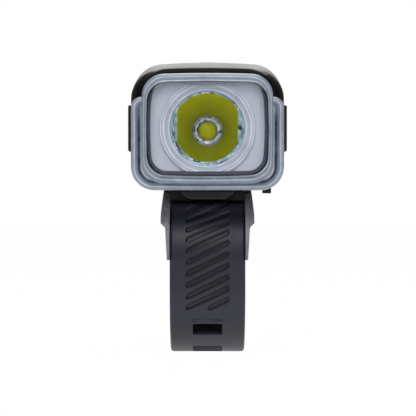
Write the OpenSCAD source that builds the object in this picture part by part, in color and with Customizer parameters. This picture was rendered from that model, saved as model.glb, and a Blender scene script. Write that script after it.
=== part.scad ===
// Bicycle headlight on a rubber handlebar strap.
// Origin on the handlebar's axis, bar along X, +Z up, the beam leaves along -Y.

/* [Handlebar and bracket] */
// Diameter of the handlebar that the saddle fits
bar_d = 31.8; // [28:0.1:35]
// Thickness of the rubber saddle pad
pad_t = 1.6; // [1.2:0.1:2.4]
// Arc of the pad to each side of the top
pad_arc = 70; // [62:1:74]
// Thickness of the bracket's crown over the pad
crown_t = 3.6; // [3.4:0.1:4.6]
// Front end of the crown and its rails
crown_front = 7; // [6.5:0.1:7.5]
// Rear end of the crown and its rails
crown_rear = 17.4; // [17:0.1:20]
// Thickness of the stop wall behind the slide
stop_t = 1.7; // [1.2:0.1:2.2]
// Thickness of each slide rail's outer wall
rail_t = 2.6; // [1.8:0.1:2.8]
// Overhang of each rail's lip over the foot
rail_lip = 2.3; // [1.5:0.1:2.6]
// Thickness of each rail's lip
rail_lip_t = 1.3; // [1:0.1:1.8]
// Thickness of the cheeks beside the strap
cheek_t = 1; // [0.8:0.1:1.2]
// Extra thickness of the cheeks' upper bosses
cheek_boss_t = 1.3; // [0.8:0.1:1.6]
// Arc of the cheeks ahead of the top
cheek_arc = 87; // [80:1:88]
// Arc of the cheeks' bosses ahead of the top
cheek_boss_arc = 58; // [50:1:66]
// Radial depth of the cheeks outside the pad
cheek_d = 3.9; // [3.4:0.1:4.4]
// Lowest point of the rear leg above the bar's axis
leg_z = 4; // [3:0.1:4.5]
// Width of the strap stud
stud_w = 6.4; // [5:0.1:6.8]
// Height of the strap stud
stud_h = 2.2; // [1.6:0.1:2.4]
// Length of the stud past the strap's outer face
stud_out = 0.8; // [0.4:0.1:1]

/* [Strap] */
// Width of the strap
strap_w = 21.2; // [18:0.2:22]
// Thickness of the strap
strap_t = 2.6; // [2.2:0.1:3]
// Straight run between the strap's upper and lower bends
strap_drop = 6; // [4:0.5:8]
// Angle of the strap's pin ahead of the top
eye_angle = 38; // [37:0.5:40]
// Diameter of the strap's pin
eye_pin_d = 1.8; // [1.4:0.1:2]
// Diameter of the strap's rolled eye
eye_d = 4; // [3.6:0.1:4.2]
// Number of diagonal grooves
groove_n = 10; // [6:1:10]
// Spacing of the grooves along the strap
groove_pitch = 3.2; // [3:0.05:3.3]
// Width of each groove
groove_w = 1.5; // [1:0.1:1.8]
// Depth of each groove
groove_depth = 0.8; // [0.4:0.1:1]
// Span of the grooves across the strap
groove_span = 12; // [8:0.2:14]
// Tilt of the grooves
groove_tilt = 26; // [10:1:28]
// Angle of the first groove ahead of the top
groove_start = 45; // [44.5:0.5:48]
// Number of ladder holes up to the one on the stud
hole_n = 6; // [6:1:6]
// Height of the stud hole above the bar's axis
hole_top = 6.5; // [6.2:0.1:6.8]
// Spacing of the ladder holes
hole_pitch = 11.7; // [11.4:0.1:12]
// Length of each ladder hole along the strap
hole_l = 4.3; // [4:0.1:4.6]
// Width of each ladder hole
hole_w = 8.4; // [7.4:0.1:10]
// Diameter of the raised rung above each ladder hole
rung_d = 1.5; // [1:0.1:1.6]
// Height of the tail's bend line below the upper bend
bend_z = 0.9; // [0.6:0.1:1]
// Top of the tail's straight run
tail_top = 10.5; // [10:0.5:13]
// Length of the flared pull tab
pull_l = 8; // [6:0.5:10]
// Flare of the pull tab away from the lamp
pull_angle = 42; // [30:1:60]

/* [Lamp housing] */
// Full width of the housing
lamp_w = 43; // [42:0.2:48]
// Height of the beam's axis above the housing's floor
axis_h = 12.5; // [12.2:0.1:13.5]
// Height of the crest above the housing's floor
crest_h = 33.2; // [32:0.1:36]
// Height of the front lip above the beam's axis
lip_h = 16.5; // [16:0.1:17]
// Room behind the battery carrier
back_room = 2.5; // [2:0.1:6]
// Step from the housing's side to the lens's flange
flange_inset = 0.3; // [0.1:0.1:0.8]
// Wall of the housing
wall = 2; // [1.6:0.1:2.2]
// Height of the parting line above the floor
split_h = 9; // [8:0.2:10]
// Thickness of the front frame that carries the lens
frame_t = 3; // [2.4:0.1:3.4]
// Height of the side trims
trim_h = 12.9; // [10:0.1:14]
// Length of the side trims
trim_l = 40; // [30:1:46]
// Thickness of the side trims
trim_t = 1.5; // [1.1:0.05:1.7]
// Stand-out of the side trims past the housing
trim_out = 0.7; // [0.4:0.05:0.9]
// Diameter of the housing screws
screw_d = 2.5; // [2:0.1:3]
// Diameter of the screw heads
head_d = 4.4; // [3.8:0.1:4.8]
// Diameter of the screw bosses
boss_d = 6.4; // [5.4:0.1:6.6]
// Length of the housing screws
screw_l = 14; // [12:0.5:18]

/* [Foot] */
// Half width of the foot's flange
foot_half = 8; // [7.6:0.1:8.4]
// Thickness of the foot's flange
foot_t = 1.6; // [1.4:0.1:2.2]
// Width of the latch slot along the foot
slot_w = 4.8; // [4.4:0.1:5.2]
// Length of the foot screws
foot_screw_l = 4.6; // [4:0.1:5]
// Diameter of the foot screws' low heads
foot_head_d = 3.8; // [3.4:0.1:4]
// Height of the foot screws' low heads
foot_head_h = 0.7; // [0.5:0.05:0.7]

/* [Lens and optics] */
// Front face of the lens ahead of the bar's axis
lens_front = 28; // [27:0.2:34]
// Depth of the lens cover
lens_d = 6.5; // [6:0.1:7]
// Thickness of the lens window
lens_t = 2; // [1.6:0.1:2.2]
// Half width of the lens's front block
lens_half = 18.2; // [17.6:0.1:18.6]
// Width of the lens's rim beside the window
rim_w = 2.4; // [2.2:0.1:3.2]
// Thickness of the lens's flange
flange_t = 3.6; // [2.6:0.1:4]
// Top of the lens above the beam's axis
lens_up = 15.2; // [14.8:0.1:15.6]
// Top of the flange's side wings above the beam's axis
shoulder_up = 8.9; // [7:0.1:9.4]
// Bottom of the lens below the beam's axis
lens_down = 15.4; // [15:0.1:15.6]
// Bottom of the flange below the beam's axis
flange_down = 17; // [16.6:0.1:17.4]
// Corner radius of the lens
lens_r = 5.5; // [4:0.1:6]
// Half height of the window
window_up = 11.9; // [11:0.1:12.2]
// Corner radius of the window
window_r = 3.8; // [2:0.1:5]
// Width of the gasket round the window
gasket_w = 1; // [0.7:0.1:1.1]
// Outer radius of the bezel ring
ring_r = 13.2; // [12.6:0.1:13.6]
// Radius of the reflector's mouth
mouth_r = 10.1; // [9.4:0.1:10.4]
// Focal length of the reflector
focal = 2; // [1.9:0.05:2.2]
// Radius of the reflector's throat
throat_r = 4.1; // [3.8:0.1:4.4]
// Wall of the reflector
reflector_t = 0.9; // [0.7:0.1:1]
// Radius of the emitter's dome
dome_r = 2.6; // [2:0.1:2.7]
// Radius of the emitter's circuit board
led_board_r = 9; // [8:0.1:10]
// Thickness of the emitter's circuit board
led_board_t = 1.2; // [1:0.1:1.6]
// Thickness of the heat sink's plate
sink_t = 2.4; // [2:0.1:3]
// Room between the inner pieces and the housing's side walls
side_room = 6.5; // [6:0.1:8]
// Length of the heat sink's fins
fin_l = 5; // [3:0.1:5.4]
// Number of heat sink fins
fin_n = 5; // [3:1:6]

/* [Power] */
// Diameter of the battery cell
cell_d = 18.3; // [16.5:0.1:18.5]
// Length of the battery cell
cell_l = 35; // [30:0.5:35]
// Thickness of the contact plates
contact_t = 0.5; // [0.3:0.1:0.6]
// Thickness of the battery carrier's walls
carrier_t = 1.5; // [1.2:0.1:1.6]
// Thickness of the circuit boards
board_t = 1.2; // [0.8:0.1:1.6]
// Length of the charging socket
socket_l = 9; // [8.4:0.1:9.4]
// Thickness of the charging socket
socket_w = 3.3; // [3:0.1:3.6]
// Depth of the charging socket
socket_d = 7.3; // [6:0.1:8]

/* [Controls] */
// Diameter of the power button
button_d = 12; // [9:0.5:13]
// Travel of the power button
button_travel = 0.7; // [0.4:0.1:0.8]
// Stand-out of the power button above the crest
button_out = 0.5; // [0.3:0.1:1]
// Place of the power button behind the bar's axis
button_y = 10; // [8:0.5:12]
// Width of the charging cover
cover_w = 5; // [4.8:0.1:5.2]
// Length of the charging cover
cover_l = 14; // [13.4:0.1:15]
// Thickness of the charging cover
cover_t = 1.1; // [0.9:0.1:1.4]
// Length of the charging cover's hanging pull tab
cover_tab_l = 5; // [3:0.1:5.5]
// Half width of the release tab's stem
tab_half = 3.6; // [3:0.1:3.8]
// Thickness of the release tab's stem
tab_t = 1.2; // [1:0.1:1.3]
// Half width of the release tab's lip
tab_lip_half = 7.2; // [5.6:0.1:7.6]
// Height of the release tab's lip
tab_lip_h = 2.5; // [2:0.1:4]
// Half width of the release tab's lip along its foot
tab_foot_half = 4.9; // [3:0.1:5.4]
// Diameter of the release tab's pin
tab_pin_d = 1.4; // [1:0.1:1.5]
// Swing of the release tab when it is pressed
tab_swing = 6; // [5:0.5:6]
// Reach of the latch tooth into the foot
tooth_h = 0.6; // [0.4:0.05:0.7]

/* [Fits] */
// Running clearance between sliding pieces
slide_gap = 0.3; // [0.2:0.05:0.4]
// Clearance between seated pieces
seat_gap = 0.1; // [0.05:0.05:0.15]
// Radial clearance of pins and screws
pin_gap = 0.05; // [0.02:0.01:0.08]

/* [Hidden] */
$fn = 96;
far = 200;
// Overrun of cuts, and of shapes that join, past the face they meet
over = 1;

bar_r = bar_d / 2;
pad_r = bar_r + pad_t;
crown_z = pad_r + crown_t;
foot_z = crown_z + slide_gap;
foot_top = foot_z + foot_t;
rail_top = foot_top + slide_gap + rail_lip_t;
floor_z = rail_top + slide_gap + seat_gap;
rail_in = foot_half + slide_gap;
stem_half = rail_in - rail_lip - slide_gap;
rail_out = rail_in + rail_t;
foot_rear = crown_rear - stop_t - slide_gap;

strap_in = pad_r + 2 * seat_gap;
strap_out = strap_in + strap_t;
strap_mid = (strap_in + strap_out) / 2;
strap_half = strap_w / 2;
pad_w = strap_w - 2 * seat_gap;
cheek_in = strap_half + slide_gap;
cheek_mid = cheek_in + cheek_t;
cheek_out = cheek_mid + cheek_boss_t;
cheek_bore = pad_r + 2 * seat_gap;
cheek_top = 12;
cheek_tip_t = 0.3;
cheek_lean = 0.7;
cheek_r = pad_r + cheek_d;
eye_r = strap_in + eye_d / 2;
eye_y = -eye_r * sin(eye_angle);
eye_z = eye_r * cos(eye_angle);
pull_r = strap_t / 2;

half_w = lamp_w / 2;
flange_half = half_w - flange_inset;
window_half = lens_half - rim_w;
axis_z = floor_z + axis_h;
crest_z = floor_z + crest_h;
split_z = floor_z + split_h;
inner_z = floor_z + wall;
lens_y = -lens_front;
lens_back = lens_y + lens_d;
frame_y = lens_back + seat_gap;
frame_back = frame_y + frame_t;
shoulder_r = 3;
flange_step_r = 1;
flange_r = lens_r + flange_step_r;
frame_step = 1.9;
frame_half = flange_half - frame_step;
frame_edge = 1.4;
frame_low_r = 1;
lip_low = 2;
frame_top = axis_z + lip_h;
frame_r = 8;
pocket_half = window_half + gasket_w;
pocket_up = window_up + gasket_w;
pocket_r = window_r + gasket_w;

crest_r = 9;
crest_y = 0;
floor_r = 4;
rear_top_r = 14;
plan_r = 12;
// The roof falls from the crest to the front lip along a parabola
roof_run = crest_y - frame_y;
roof_fall = crest_z - frame_top;
// Shares of the run where flats touch the parabola
roof_flats = [0.25, 0.6, 0.95];
// Reach of the flats' shoulders past the housing's sides, per share of the run
roof_spread = 0.8;

rim_t = 0.8;
optic_depth = 2.1;
mouth_y = lens_y + lens_t + optic_depth;
vertex_y = mouth_y + mouth_r * mouth_r / (4 * focal);
throat_y = vertex_y - throat_r * throat_r / (4 * focal);
led_y = throat_y + reflector_t;
sink_y = led_y + led_board_t;
sink_back = sink_y + sink_t;
sink_half = half_w - wall - side_room;
board_half = sink_half;

fin_room = 1;
carrier_y = sink_back + fin_l + fin_room;
cell_y = carrier_y + carrier_t + contact_t + seat_gap;
cell_lift = 0.65;
cell_z = inner_z + cell_d / 2 + cell_lift;
carrier_end = cell_y + cell_l + seat_gap + contact_t;
carrier_room = 0.9;
carrier_half = cell_d / 2 + carrier_room + carrier_t;
lamp_rear = carrier_end + carrier_t + back_room + wall;
rear_low_r = wall + back_room - slide_gap;
board_room = 1;
board_z = cell_z + cell_d / 2 + board_room;
switch_h = 2;
plunger_h = 0.5;
plunger_d = 3.5;
switch_w = 6;
switch_z = board_z + board_t + switch_h + plunger_h;
button_r = button_d / 2;
button_top = crest_z + button_out;
button_flange_z = crest_z - wall - slide_gap;
button_flange_t = 1;
button_flange_w = 1.2;

front_screw_edge = 4.4;
front_screw_in = 6.5;
rear_screw_edge = 4.9;
rear_screw_in = 10;
front_screw = [half_w - front_screw_edge, frame_back + front_screw_in];
rear_screw = [half_w - rear_screw_edge, lamp_rear - rear_screw_in];
housing_screw_at = [
    for (side = [-1, 1], at = [front_screw, rear_screw])
        [side * at[0], at[1]]
];
foot_screw_x = (slot_w + 2 * stem_half) / 4;
foot_screw_edge = 2.1;
foot_screw_at = [
    for (x = [-foot_screw_x, foot_screw_x], y = [foot_screw_edge - crown_front, foot_rear - foot_screw_edge])
        [x, y]
];
head_h = 1.5;
thread_room = 0.5;
boss_inset = 0.3;

port_edge = 5.3;
cover_x = half_w - port_edge;
cover_y = 1.2;
cover_back = cover_y + cover_l;
cover_top = floor_z - seat_gap;
cover_r = cover_t / 2;
port_gap = 0.4;
port_w = socket_w + 2 * port_gap;
port_l = socket_l + 2 * port_gap;
port_in = 2.4;
port_y = cover_y + port_in;
plug_h = 0.8;
plug_gap = 0.45;

tab_y = 1;
knuckle_r = 1.1;
pin_grip = 2.6;
pin_inset = 0.5;
tab_z = crown_z - seat_gap - knuckle_r;
tab_lip_d = 3.3;
tab_gap = 3.3;
tab_front = lens_back + tab_gap;
tooth_y = -6;
tooth_l = 1.6;
trim_rise = 0.4;
trim_set = 1;
rung_sink = 0.25;

// Place of ladder hole i along the strap, counted up from the stud hole
bend_run = hole_top + strap_drop;
function hole_run(i) = bend_run - i * hole_pitch;
function below_bend(i) = -hole_run(i) / strap_mid * 180 / PI;

// A rectangle about the middle with its own radius at the low and the high corners
module corner_rect(half, low, high, low_r, high_r) {
    for (side = [-1, 1]) {
        translate([side * (half - low_r), low + low_r]) circle(low_r);
        translate([side * (half - high_r), high - high_r]) circle(high_r);
    }
    translate([-half, low + low_r]) square([2 * half, high - low - low_r - high_r]);
    translate([-half + low_r, low]) square([2 * half - 2 * low_r, low_r]);
    translate([-half + high_r, high - high_r]) square([2 * half - 2 * high_r, high_r]);
}

module round_rect(half, low, high, r) {
    corner_rect(half, low, high, r, r);
}

// Runs a drawing of the XZ plane from y0 to y1
module along_y(y0, y1) {
    translate([0, y1, 0]) rotate([90, 0, 0]) linear_extrude(y1 - y0) children();
}

// Runs a drawing of the YZ plane from x0 to x1
module along_x(x0, x1) {
    translate([x0, 0, 0]) rotate([90, 0, 90]) linear_extrude(x1 - x0) children();
}

// Ring sector in the YZ plane, angles counted from the top towards the front
module sector(r0, r1, a0, a1) {
    steps = 8;
    intersection() {
        difference() {
            circle(r1);
            circle(r0);
        }
        polygon(concat([[0, 0]], [
            for (i = [0 : steps])
                let (a = 90 + a0 + (a1 - a0) * i / steps)
                2 * r1 * [cos(a), sin(a)]
        ]));
    }
}

// The housing in side view, with its round back
module side_outline(inset) {
    back = lamp_rear - inset;
    top = crest_z - inset;
    low = floor_z + inset;
    top_r = rear_top_r - inset;
    low_r = rear_low_r - inset;
    translate([frame_y, low]) square([back - top_r - frame_y, top - low]);
    translate([frame_y, low + low_r]) square([back - frame_y, top - top_r - low - low_r]);
    translate([back - top_r, top - top_r]) circle(top_r);
    translate([frame_y, low]) square([back - low_r - frame_y, low_r]);
    translate([back - low_r, low + low_r]) circle(low_r);
}

// One flat of the roof with round shoulders, at a share of the run ahead of the crest
module roof_flat(share, inset) {
    slope = atan(2 * share * roof_fall / roof_run);
    half = half_w + share * roof_spread - inset;
    translate([0, crest_y - share * roof_run, crest_z - share * share * roof_fall]) rotate([slope, 0, 0]) {
        along_y(-far, far) corner_rect(half, -far, -inset, floor_r, crest_r - inset);
    }
}

// The housing's closed form, drawn in by inset
module body_form(inset) {
    half = half_w - inset;
    intersection() {
        along_y(frame_y, lamp_rear) {
            corner_rect(half, floor_z + inset, crest_z - inset, floor_r, crest_r - inset);
        }
        along_x(-half_w, half_w) side_outline(inset);
        linear_extrude(far) corner_rect(half, frame_y, lamp_rear - inset, floor_r, plan_r - inset);
        roof_flat(roof_flats[0], inset);
        roof_flat(roof_flats[1], inset);
        roof_flat(roof_flats[2], inset);
    }
}

// The front frame: a lip above the lens and a narrower seat behind its window
module front_frame() {
    along_y(frame_y, frame_back) {
        corner_rect(frame_half, axis_z + lip_low, frame_top, frame_low_r, frame_r);
        round_rect(pocket_half + frame_edge, axis_z - pocket_up - frame_edge, axis_z + pocket_up, pocket_r);
    }
}

// Both shells as one hollow body
module housing() {
    difference() {
        union() {
            difference() {
                body_form(0);
                intersection() {
                    body_form(wall);
                    translate([-far / 2, frame_back, 0]) cube([far, far, far]);
                }
            }
            front_frame();
            intersection() {
                body_form(boss_inset);
                screw_bosses();
            }
        }
        translate([0, frame_y - over, axis_z]) rotate([-90, 0, 0]) {
            cylinder(h = frame_t + 2 * over, r = mouth_r + 2 * reflector_t);
        }
        screw_holes();
        trim_recess();
    }
}

module screw_bosses() {
    for (p = housing_screw_at) {
        translate([p[0], p[1], floor_z]) cylinder(h = screw_l + wall, d = boss_d);
    }
}

module screw_holes() {
    for (p = housing_screw_at) {
        translate([p[0], p[1], floor_z - over]) {
            cylinder(h = over + wall, d = head_d + 4 * pin_gap);
            cylinder(h = over + screw_l + thread_room, d = screw_d + 2 * pin_gap);
        }
    }
}

module trim_recess() {
    for (side = [-1, 1]) {
        trim(side, seat_gap);
    }
}

// One side trim, grown by gap
module trim(side, gap) {
    x0 = half_w + trim_out - trim_t - gap;
    low = axis_z - trim_h / 2 + trim_rise;
    translate([side > 0 ? x0 : -x0 - trim_t - gap, frame_y + trim_set - gap, low - gap])
        cube([trim_t + gap, trim_l + 2 * gap, trim_h + 2 * gap]);
}

module housing_top() {
    color("#141416") difference() {
        intersection() {
            housing();
            translate([-far / 2, -far / 2, split_z]) cube([far, far, far]);
        }
        translate([0, button_y, split_z]) cylinder(h = far, r = button_r + slide_gap);
    }
}

module housing_base() {
    color("#161618") difference() {
        intersection() {
            housing();
            translate([-far / 2, -far / 2, split_z - far]) cube([far, far, far]);
        }
        for (p = foot_screw_at) {
            translate([p[0], p[1], floor_z - over]) cylinder(h = wall + 2 * over, d = screw_d + 2 * pin_gap);
        }
        translate([cover_x - port_w / 2, port_y, floor_z - over]) cube([port_w, port_l, wall + 2 * over]);
    }
}

// Outline of the lens's front block
module lens_outline() {
    round_rect(lens_half, axis_z - lens_down, axis_z + lens_up, lens_r);
}

module lens_cover() {
    color("#9aa6b4", 0.5) difference() {
        union() {
            along_y(lens_y, lens_back) lens_outline();
            along_y(lens_back - flange_t, lens_back) {
                corner_rect(flange_half, axis_z - flange_down, axis_z + shoulder_up, flange_r, shoulder_r);
            }
        }
        along_y(lens_y + lens_t, lens_back + over) {
            round_rect(pocket_half, axis_z - pocket_up, axis_z + pocket_up, pocket_r);
        }
    }
}

module window_shape(gap) {
    round_rect(window_half - gap, axis_z - window_up + gap, axis_z + window_up - gap, window_r);
}

module lens_gasket() {
    fit_up = pocket_up - seat_gap;
    color("#44484e") along_y(lens_y + lens_t + seat_gap, lens_back) {
        difference() {
            round_rect(pocket_half - seat_gap, axis_z - fit_up, axis_z + fit_up, pocket_r);
            window_shape(0);
        }
    }
}

module face_plate() {
    color("#b4b9c2") difference() {
        along_y(mouth_y - rim_t, mouth_y) window_shape(seat_gap);
        translate([0, mouth_y, axis_z]) rotate([90, 0, 0]) {
            cylinder(h = far, r = ring_r + seat_gap, center = true);
        }
    }
}

module bezel_ring() {
    ring_t = 1.7;
    ring_edge = 0.4;
    ring_flat = 0.8;
    color("#c4c9d0") intersection() {
        translate([0, mouth_y, axis_z]) rotate([90, 0, 0]) {
            rotate_extrude() polygon([
                [mouth_r + seat_gap, 0],
                [ring_r, 0],
                [ring_r, ring_t - ring_edge],
                [ring_r - ring_edge, ring_t],
                [ring_r - ring_edge - ring_flat, ring_t],
                [mouth_r + seat_gap, rim_t]
            ]);
        }
        along_y(lens_y, lens_back) window_shape(seat_gap);
    }
}

// The reflector's profile: a parabola with its focus on the emitter
function bowl(r) = vertex_y - r * r / (4 * focal);

module reflector() {
    steps = 24;
    inner = [
        for (i = [0 : steps])
            let (r = throat_r + (mouth_r - throat_r) * i / steps)
            [r, -bowl(r)]
    ];
    outer = [
        for (i = [steps : -1 : 0])
            let (r = throat_r + (mouth_r - throat_r) * i / steps)
            if (bowl(r) > lens_back)
            [r + reflector_t, -bowl(r)]
    ];
    rim_r = window_up - seat_gap;
    rim = [
        [rim_r, -mouth_y],
        [rim_r, -lens_back],
        [outer[0][0], -lens_back]
    ];
    throat = [
        [throat_r + reflector_t, seat_gap - led_y],
        [throat_r, seat_gap - led_y]
    ];
    color("#cfd6de") translate([0, 0, axis_z]) rotate([90, 0, 0]) {
        rotate_extrude() polygon(concat(inner, rim, outer, throat));
    }
}

module led_collar() {
    collar_h = 1;
    color("#e4e6e8") translate([0, led_y, axis_z]) rotate([90, 0, 0]) difference() {
        cylinder(h = collar_h, r = throat_r - seat_gap);
        translate([0, 0, -over]) cylinder(h = collar_h + 2 * over, r = dome_r + 2 * seat_gap);
    }
}

module led_dome() {
    base_h = 0.5;
    color("#c8c400") translate([0, led_y, axis_z]) rotate([90, 0, 0]) {
        cylinder(h = base_h, r = dome_r);
        translate([0, 0, base_h]) intersection() {
            sphere(dome_r);
            cylinder(h = dome_r, r = dome_r);
        }
    }
}

module led_board() {
    color("#e8e8e4") along_y(led_y, led_y + led_board_t) translate([0, axis_z]) circle(led_board_r);
}

module heat_sink() {
    edge = 1.6;
    top_z = axis_z + led_board_r + edge;
    low = inner_z + seat_gap;
    fin_t = 1.6;
    fin_lift = 2;
    fin_low = low + fin_lift;
    color("#9a9da1") {
        translate([-sink_half, sink_y, low]) cube([2 * sink_half, sink_t, top_z - low]);
        for (i = [0 : fin_n - 1]) {
            x = -sink_half + (2 * sink_half - fin_t) * i / (fin_n - 1);
            translate([x, sink_y, fin_low]) cube([fin_t, sink_t + fin_l, top_z - fin_low]);
        }
    }
}

module battery_cell() {
    nub_h = 0.4;
    nub_d = 6.4;
    color("#2f6f9f") translate([0, cell_y + cell_l, cell_z]) rotate([90, 0, 0]) {
        cylinder(h = cell_l - nub_h, d = cell_d);
        cylinder(h = cell_l, d = nub_d);
    }
}

module battery_carrier() {
    low = inner_z + seat_gap;
    rail_h = 7;
    color("#26282b") {
        for (y = [carrier_y, carrier_end]) {
            translate([-carrier_half, y, low]) cube([2 * carrier_half, carrier_t, board_z - low]);
        }
        for (x = [-carrier_half, carrier_half - carrier_t]) {
            translate([x, carrier_y, low]) cube([carrier_t, carrier_end + carrier_t - carrier_y, rail_h]);
        }
    }
}

module battery_contacts() {
    contact_w = 7;
    color("#c9b06a") for (y = [carrier_y + carrier_t, carrier_end - contact_t]) {
        translate([-contact_w / 2, y, cell_z - contact_w / 2]) cube([contact_w, contact_t, contact_w]);
    }
}

module control_board() {
    color("#1d5a34") translate([-board_half, carrier_y, board_z]) {
        cube([2 * board_half, carrier_end + carrier_t - carrier_y, board_t]);
    }
}

module tact_switch() {
    color("#3a3c40") translate([0, button_y, board_z + board_t]) {
        translate([-switch_w / 2, -switch_w / 2, 0]) cube([switch_w, switch_w, switch_h]);
        cylinder(h = switch_h + plunger_h, d = plunger_d);
    }
}

module usb_socket() {
    mouth_t = 0.4;
    back_t = 2;
    low = floor_z + plug_h + slide_gap;
    color("#b9bcc0") translate([cover_x - socket_w / 2, port_y + port_gap, low]) difference() {
        cube([socket_w, socket_l, socket_d]);
        translate([mouth_t, mouth_t, -over])
            cube([socket_w - 2 * mouth_t, socket_l - 2 * mouth_t, over + socket_d - back_t]);
    }
}

module usb_board() {
    low = floor_z + plug_h + slide_gap + socket_d + seat_gap;
    side = 0.6;
    edge = 1;
    color("#1d5a34") translate([cover_x - socket_w / 2 - side, port_y - edge, low]) {
        cube([socket_w + 2 * side, port_l + 2 * edge, board_t]);
    }
}

module usb_cover() {
    tab_w = 2.6;
    tab_thick = 1.2;
    color("#101012") {
        along_x(cover_x - cover_w / 2, cover_x + cover_w / 2) {
            translate([cover_y, cover_top - cover_t]) square([cover_l - cover_r, cover_t]);
            translate([cover_back - cover_r, cover_top - cover_r]) circle(cover_r);
        }
        translate([cover_x - port_w / 2 + plug_gap, port_y + plug_gap, cover_top - cover_r])
            cube([port_w - 2 * plug_gap, port_l - 2 * plug_gap, cover_r + plug_h]);
        translate([cover_x + cover_w / 2 - tab_w, cover_y, cover_top - cover_tab_l])
            cube([tab_w, tab_thick, cover_tab_l]);
    }
}

module power_button() {
    stem_r = 1.6;
    stem_z = switch_z + button_travel + seat_gap;
    color("#1b1b1e") translate([0, button_y, 0]) {
        translate([0, 0, button_flange_z - button_flange_t])
            cylinder(h = button_top - button_flange_z + button_flange_t, r = button_r);
        translate([0, 0, button_flange_z - button_flange_t])
            cylinder(h = button_flange_t, r = button_r + button_flange_w);
        translate([0, 0, stem_z]) cylinder(h = button_flange_z - stem_z, r = stem_r);
    }
}

module side_trim_left() {
    color("#0d0d0f") trim(-1, 0);
}

module side_trim_right() {
    color("#0d0d0f") trim(1, 0);
}

// The shoe under the housing that slides between the bracket's rails
module lamp_foot() {
    slot_front = tooth_y - slide_gap;
    foot_l = foot_rear + crown_front;
    color("#18181a") difference() {
        union() {
            translate([-foot_half, -crown_front, foot_z]) cube([2 * foot_half, foot_l, foot_t]);
            translate([-stem_half, -crown_front, foot_z]) cube([2 * stem_half, foot_l, floor_z - foot_z]);
        }
        translate([-slot_w / 2, slot_front, foot_z - over]) cube([slot_w, far, foot_t + over]);
        for (p = foot_screw_at) {
            translate([p[0], p[1], foot_z - over]) cylinder(h = far, d = screw_d + 2 * pin_gap);
        }
    }
}

module foot_screws() {
    color("#8d9094") for (p = foot_screw_at) {
        translate([p[0], p[1], inner_z]) {
            cylinder(h = foot_head_h, d = foot_head_d);
            translate([0, 0, -foot_screw_l]) cylinder(h = foot_screw_l + foot_head_h / 2, d = screw_d);
        }
    }
}

module housing_screws() {
    color("#8d9094") for (p = housing_screw_at) {
        translate([p[0], p[1], inner_z - head_h]) {
            cylinder(h = head_h, d = head_d);
            cylinder(h = screw_l - 2 * thread_room, d = screw_d);
        }
    }
}

// Crown, rear leg and stud in side view, over the pad
module crown_profile() {
    difference() {
        translate([-crown_front, leg_z]) square([crown_rear + crown_front, crown_z - leg_z]);
        circle(pad_r);
    }
}

module bracket_base() {
    stud_y = strap_out + stud_out;
    color("#202125") difference() {
        union() {
            along_x(-cheek_mid, cheek_mid) crown_profile();
            for (side = [-1, 1]) {
                rail(side);
                cheek(side);
            }
            translate([-rail_out, crown_rear - stop_t, crown_z - over])
                cube([2 * rail_out, stop_t, rail_top - crown_z + over]);
            translate([-stud_w / 2, crown_rear - over, hole_top - stud_h / 2])
                cube([stud_w, stud_y - crown_rear + over, stud_h]);
        }
        tab_pocket();
        translate([0, tab_y, tab_z]) rotate([0, 90, 0]) {
            cylinder(h = 2 * (tab_half + pin_grip + slide_gap), d = tab_pin_d + 2 * pin_gap, center = true);
        }
        translate([0, eye_y, eye_z]) rotate([0, 90, 0]) {
            cylinder(h = far, d = eye_pin_d + 2 * pin_gap, center = true);
        }
    }
}

// One slide rail with its lip over the foot's flange
module rail(side) {
    lip_z = foot_top + slide_gap;
    run = crown_rear + crown_front;
    wall_x = side > 0 ? rail_in : -rail_out;
    lip_x = side > 0 ? rail_in - rail_lip : -rail_in;
    translate([wall_x, -crown_front, crown_z - over]) cube([rail_t, run, rail_top - crown_z + over]);
    translate([lip_x, -crown_front, lip_z]) cube([rail_lip, run, rail_lip_t]);
}

// One cheek beside the strap: thick round the strap's pin, and thinning to its tip
module cheek(side) {
    boss_z = cheek_r * cos(cheek_boss_arc);
    mirror([side > 0 ? 0 : 1, 0, 0]) intersection() {
        along_x(cheek_in, cheek_out + over) sector(cheek_bore, cheek_r, cheek_top, cheek_arc);
        along_y(-far, far) polygon([
            [cheek_in - over, -over],
            [cheek_in + cheek_tip_t, -over],
            [cheek_mid, boss_z - cheek_boss_t],
            [cheek_out, boss_z],
            [cheek_out, eye_z - eye_pin_d],
            [cheek_out - cheek_lean, crown_z + over],
            [cheek_in - over, crown_z + over]
        ]);
    }
}

// Pocket in the crown for the release tab's stem, at rest and pressed
module tab_pocket() {
    half = tab_half + slide_gap;
    room = knuckle_r + slide_gap;
    translate([0, tab_y, tab_z]) for (swing = [0, tab_swing]) {
        rotate([swing, 0, 0]) translate([-half, -far, -room]) cube([2 * half, far + room, far]);
    }
}

module saddle_pad() {
    color("#2b2c30") along_x(-pad_w / 2, pad_w / 2) {
        sector(bar_r, pad_r - seat_gap / 2, -pad_arc, pad_arc);
    }
}

module release_tab() {
    plate_z = tab_z - tab_t / 2;
    lip_back = tab_front + tab_lip_d;
    top = plate_z + tab_t;
    edge = 1;
    color("#1a1b1e") difference() {
        union() {
            translate([-tab_half, tab_front, plate_z]) cube([2 * tab_half, tab_y - tab_front, tab_t]);
            translate([0, tab_y, tab_z]) rotate([0, 90, 0]) {
                cylinder(h = 2 * tab_half, r = knuckle_r, center = true);
            }
            translate([-slot_w / 2 + 2 * slide_gap, tooth_y, tab_z])
                cube([slot_w - 4 * slide_gap, tooth_l, foot_z + tooth_h - tab_z]);
            along_y(tab_front, lip_back) polygon([
                [-tab_lip_half, top],
                [-tab_lip_half, top - edge],
                [-tab_foot_half, top - tab_lip_h],
                [tab_foot_half, top - tab_lip_h],
                [tab_lip_half, top - edge],
                [tab_lip_half, top]
            ]);
        }
        translate([0, tab_y, tab_z]) rotate([0, 90, 0]) {
            cylinder(h = far, d = tab_pin_d + 2 * pin_gap, center = true);
        }
    }
}

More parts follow.
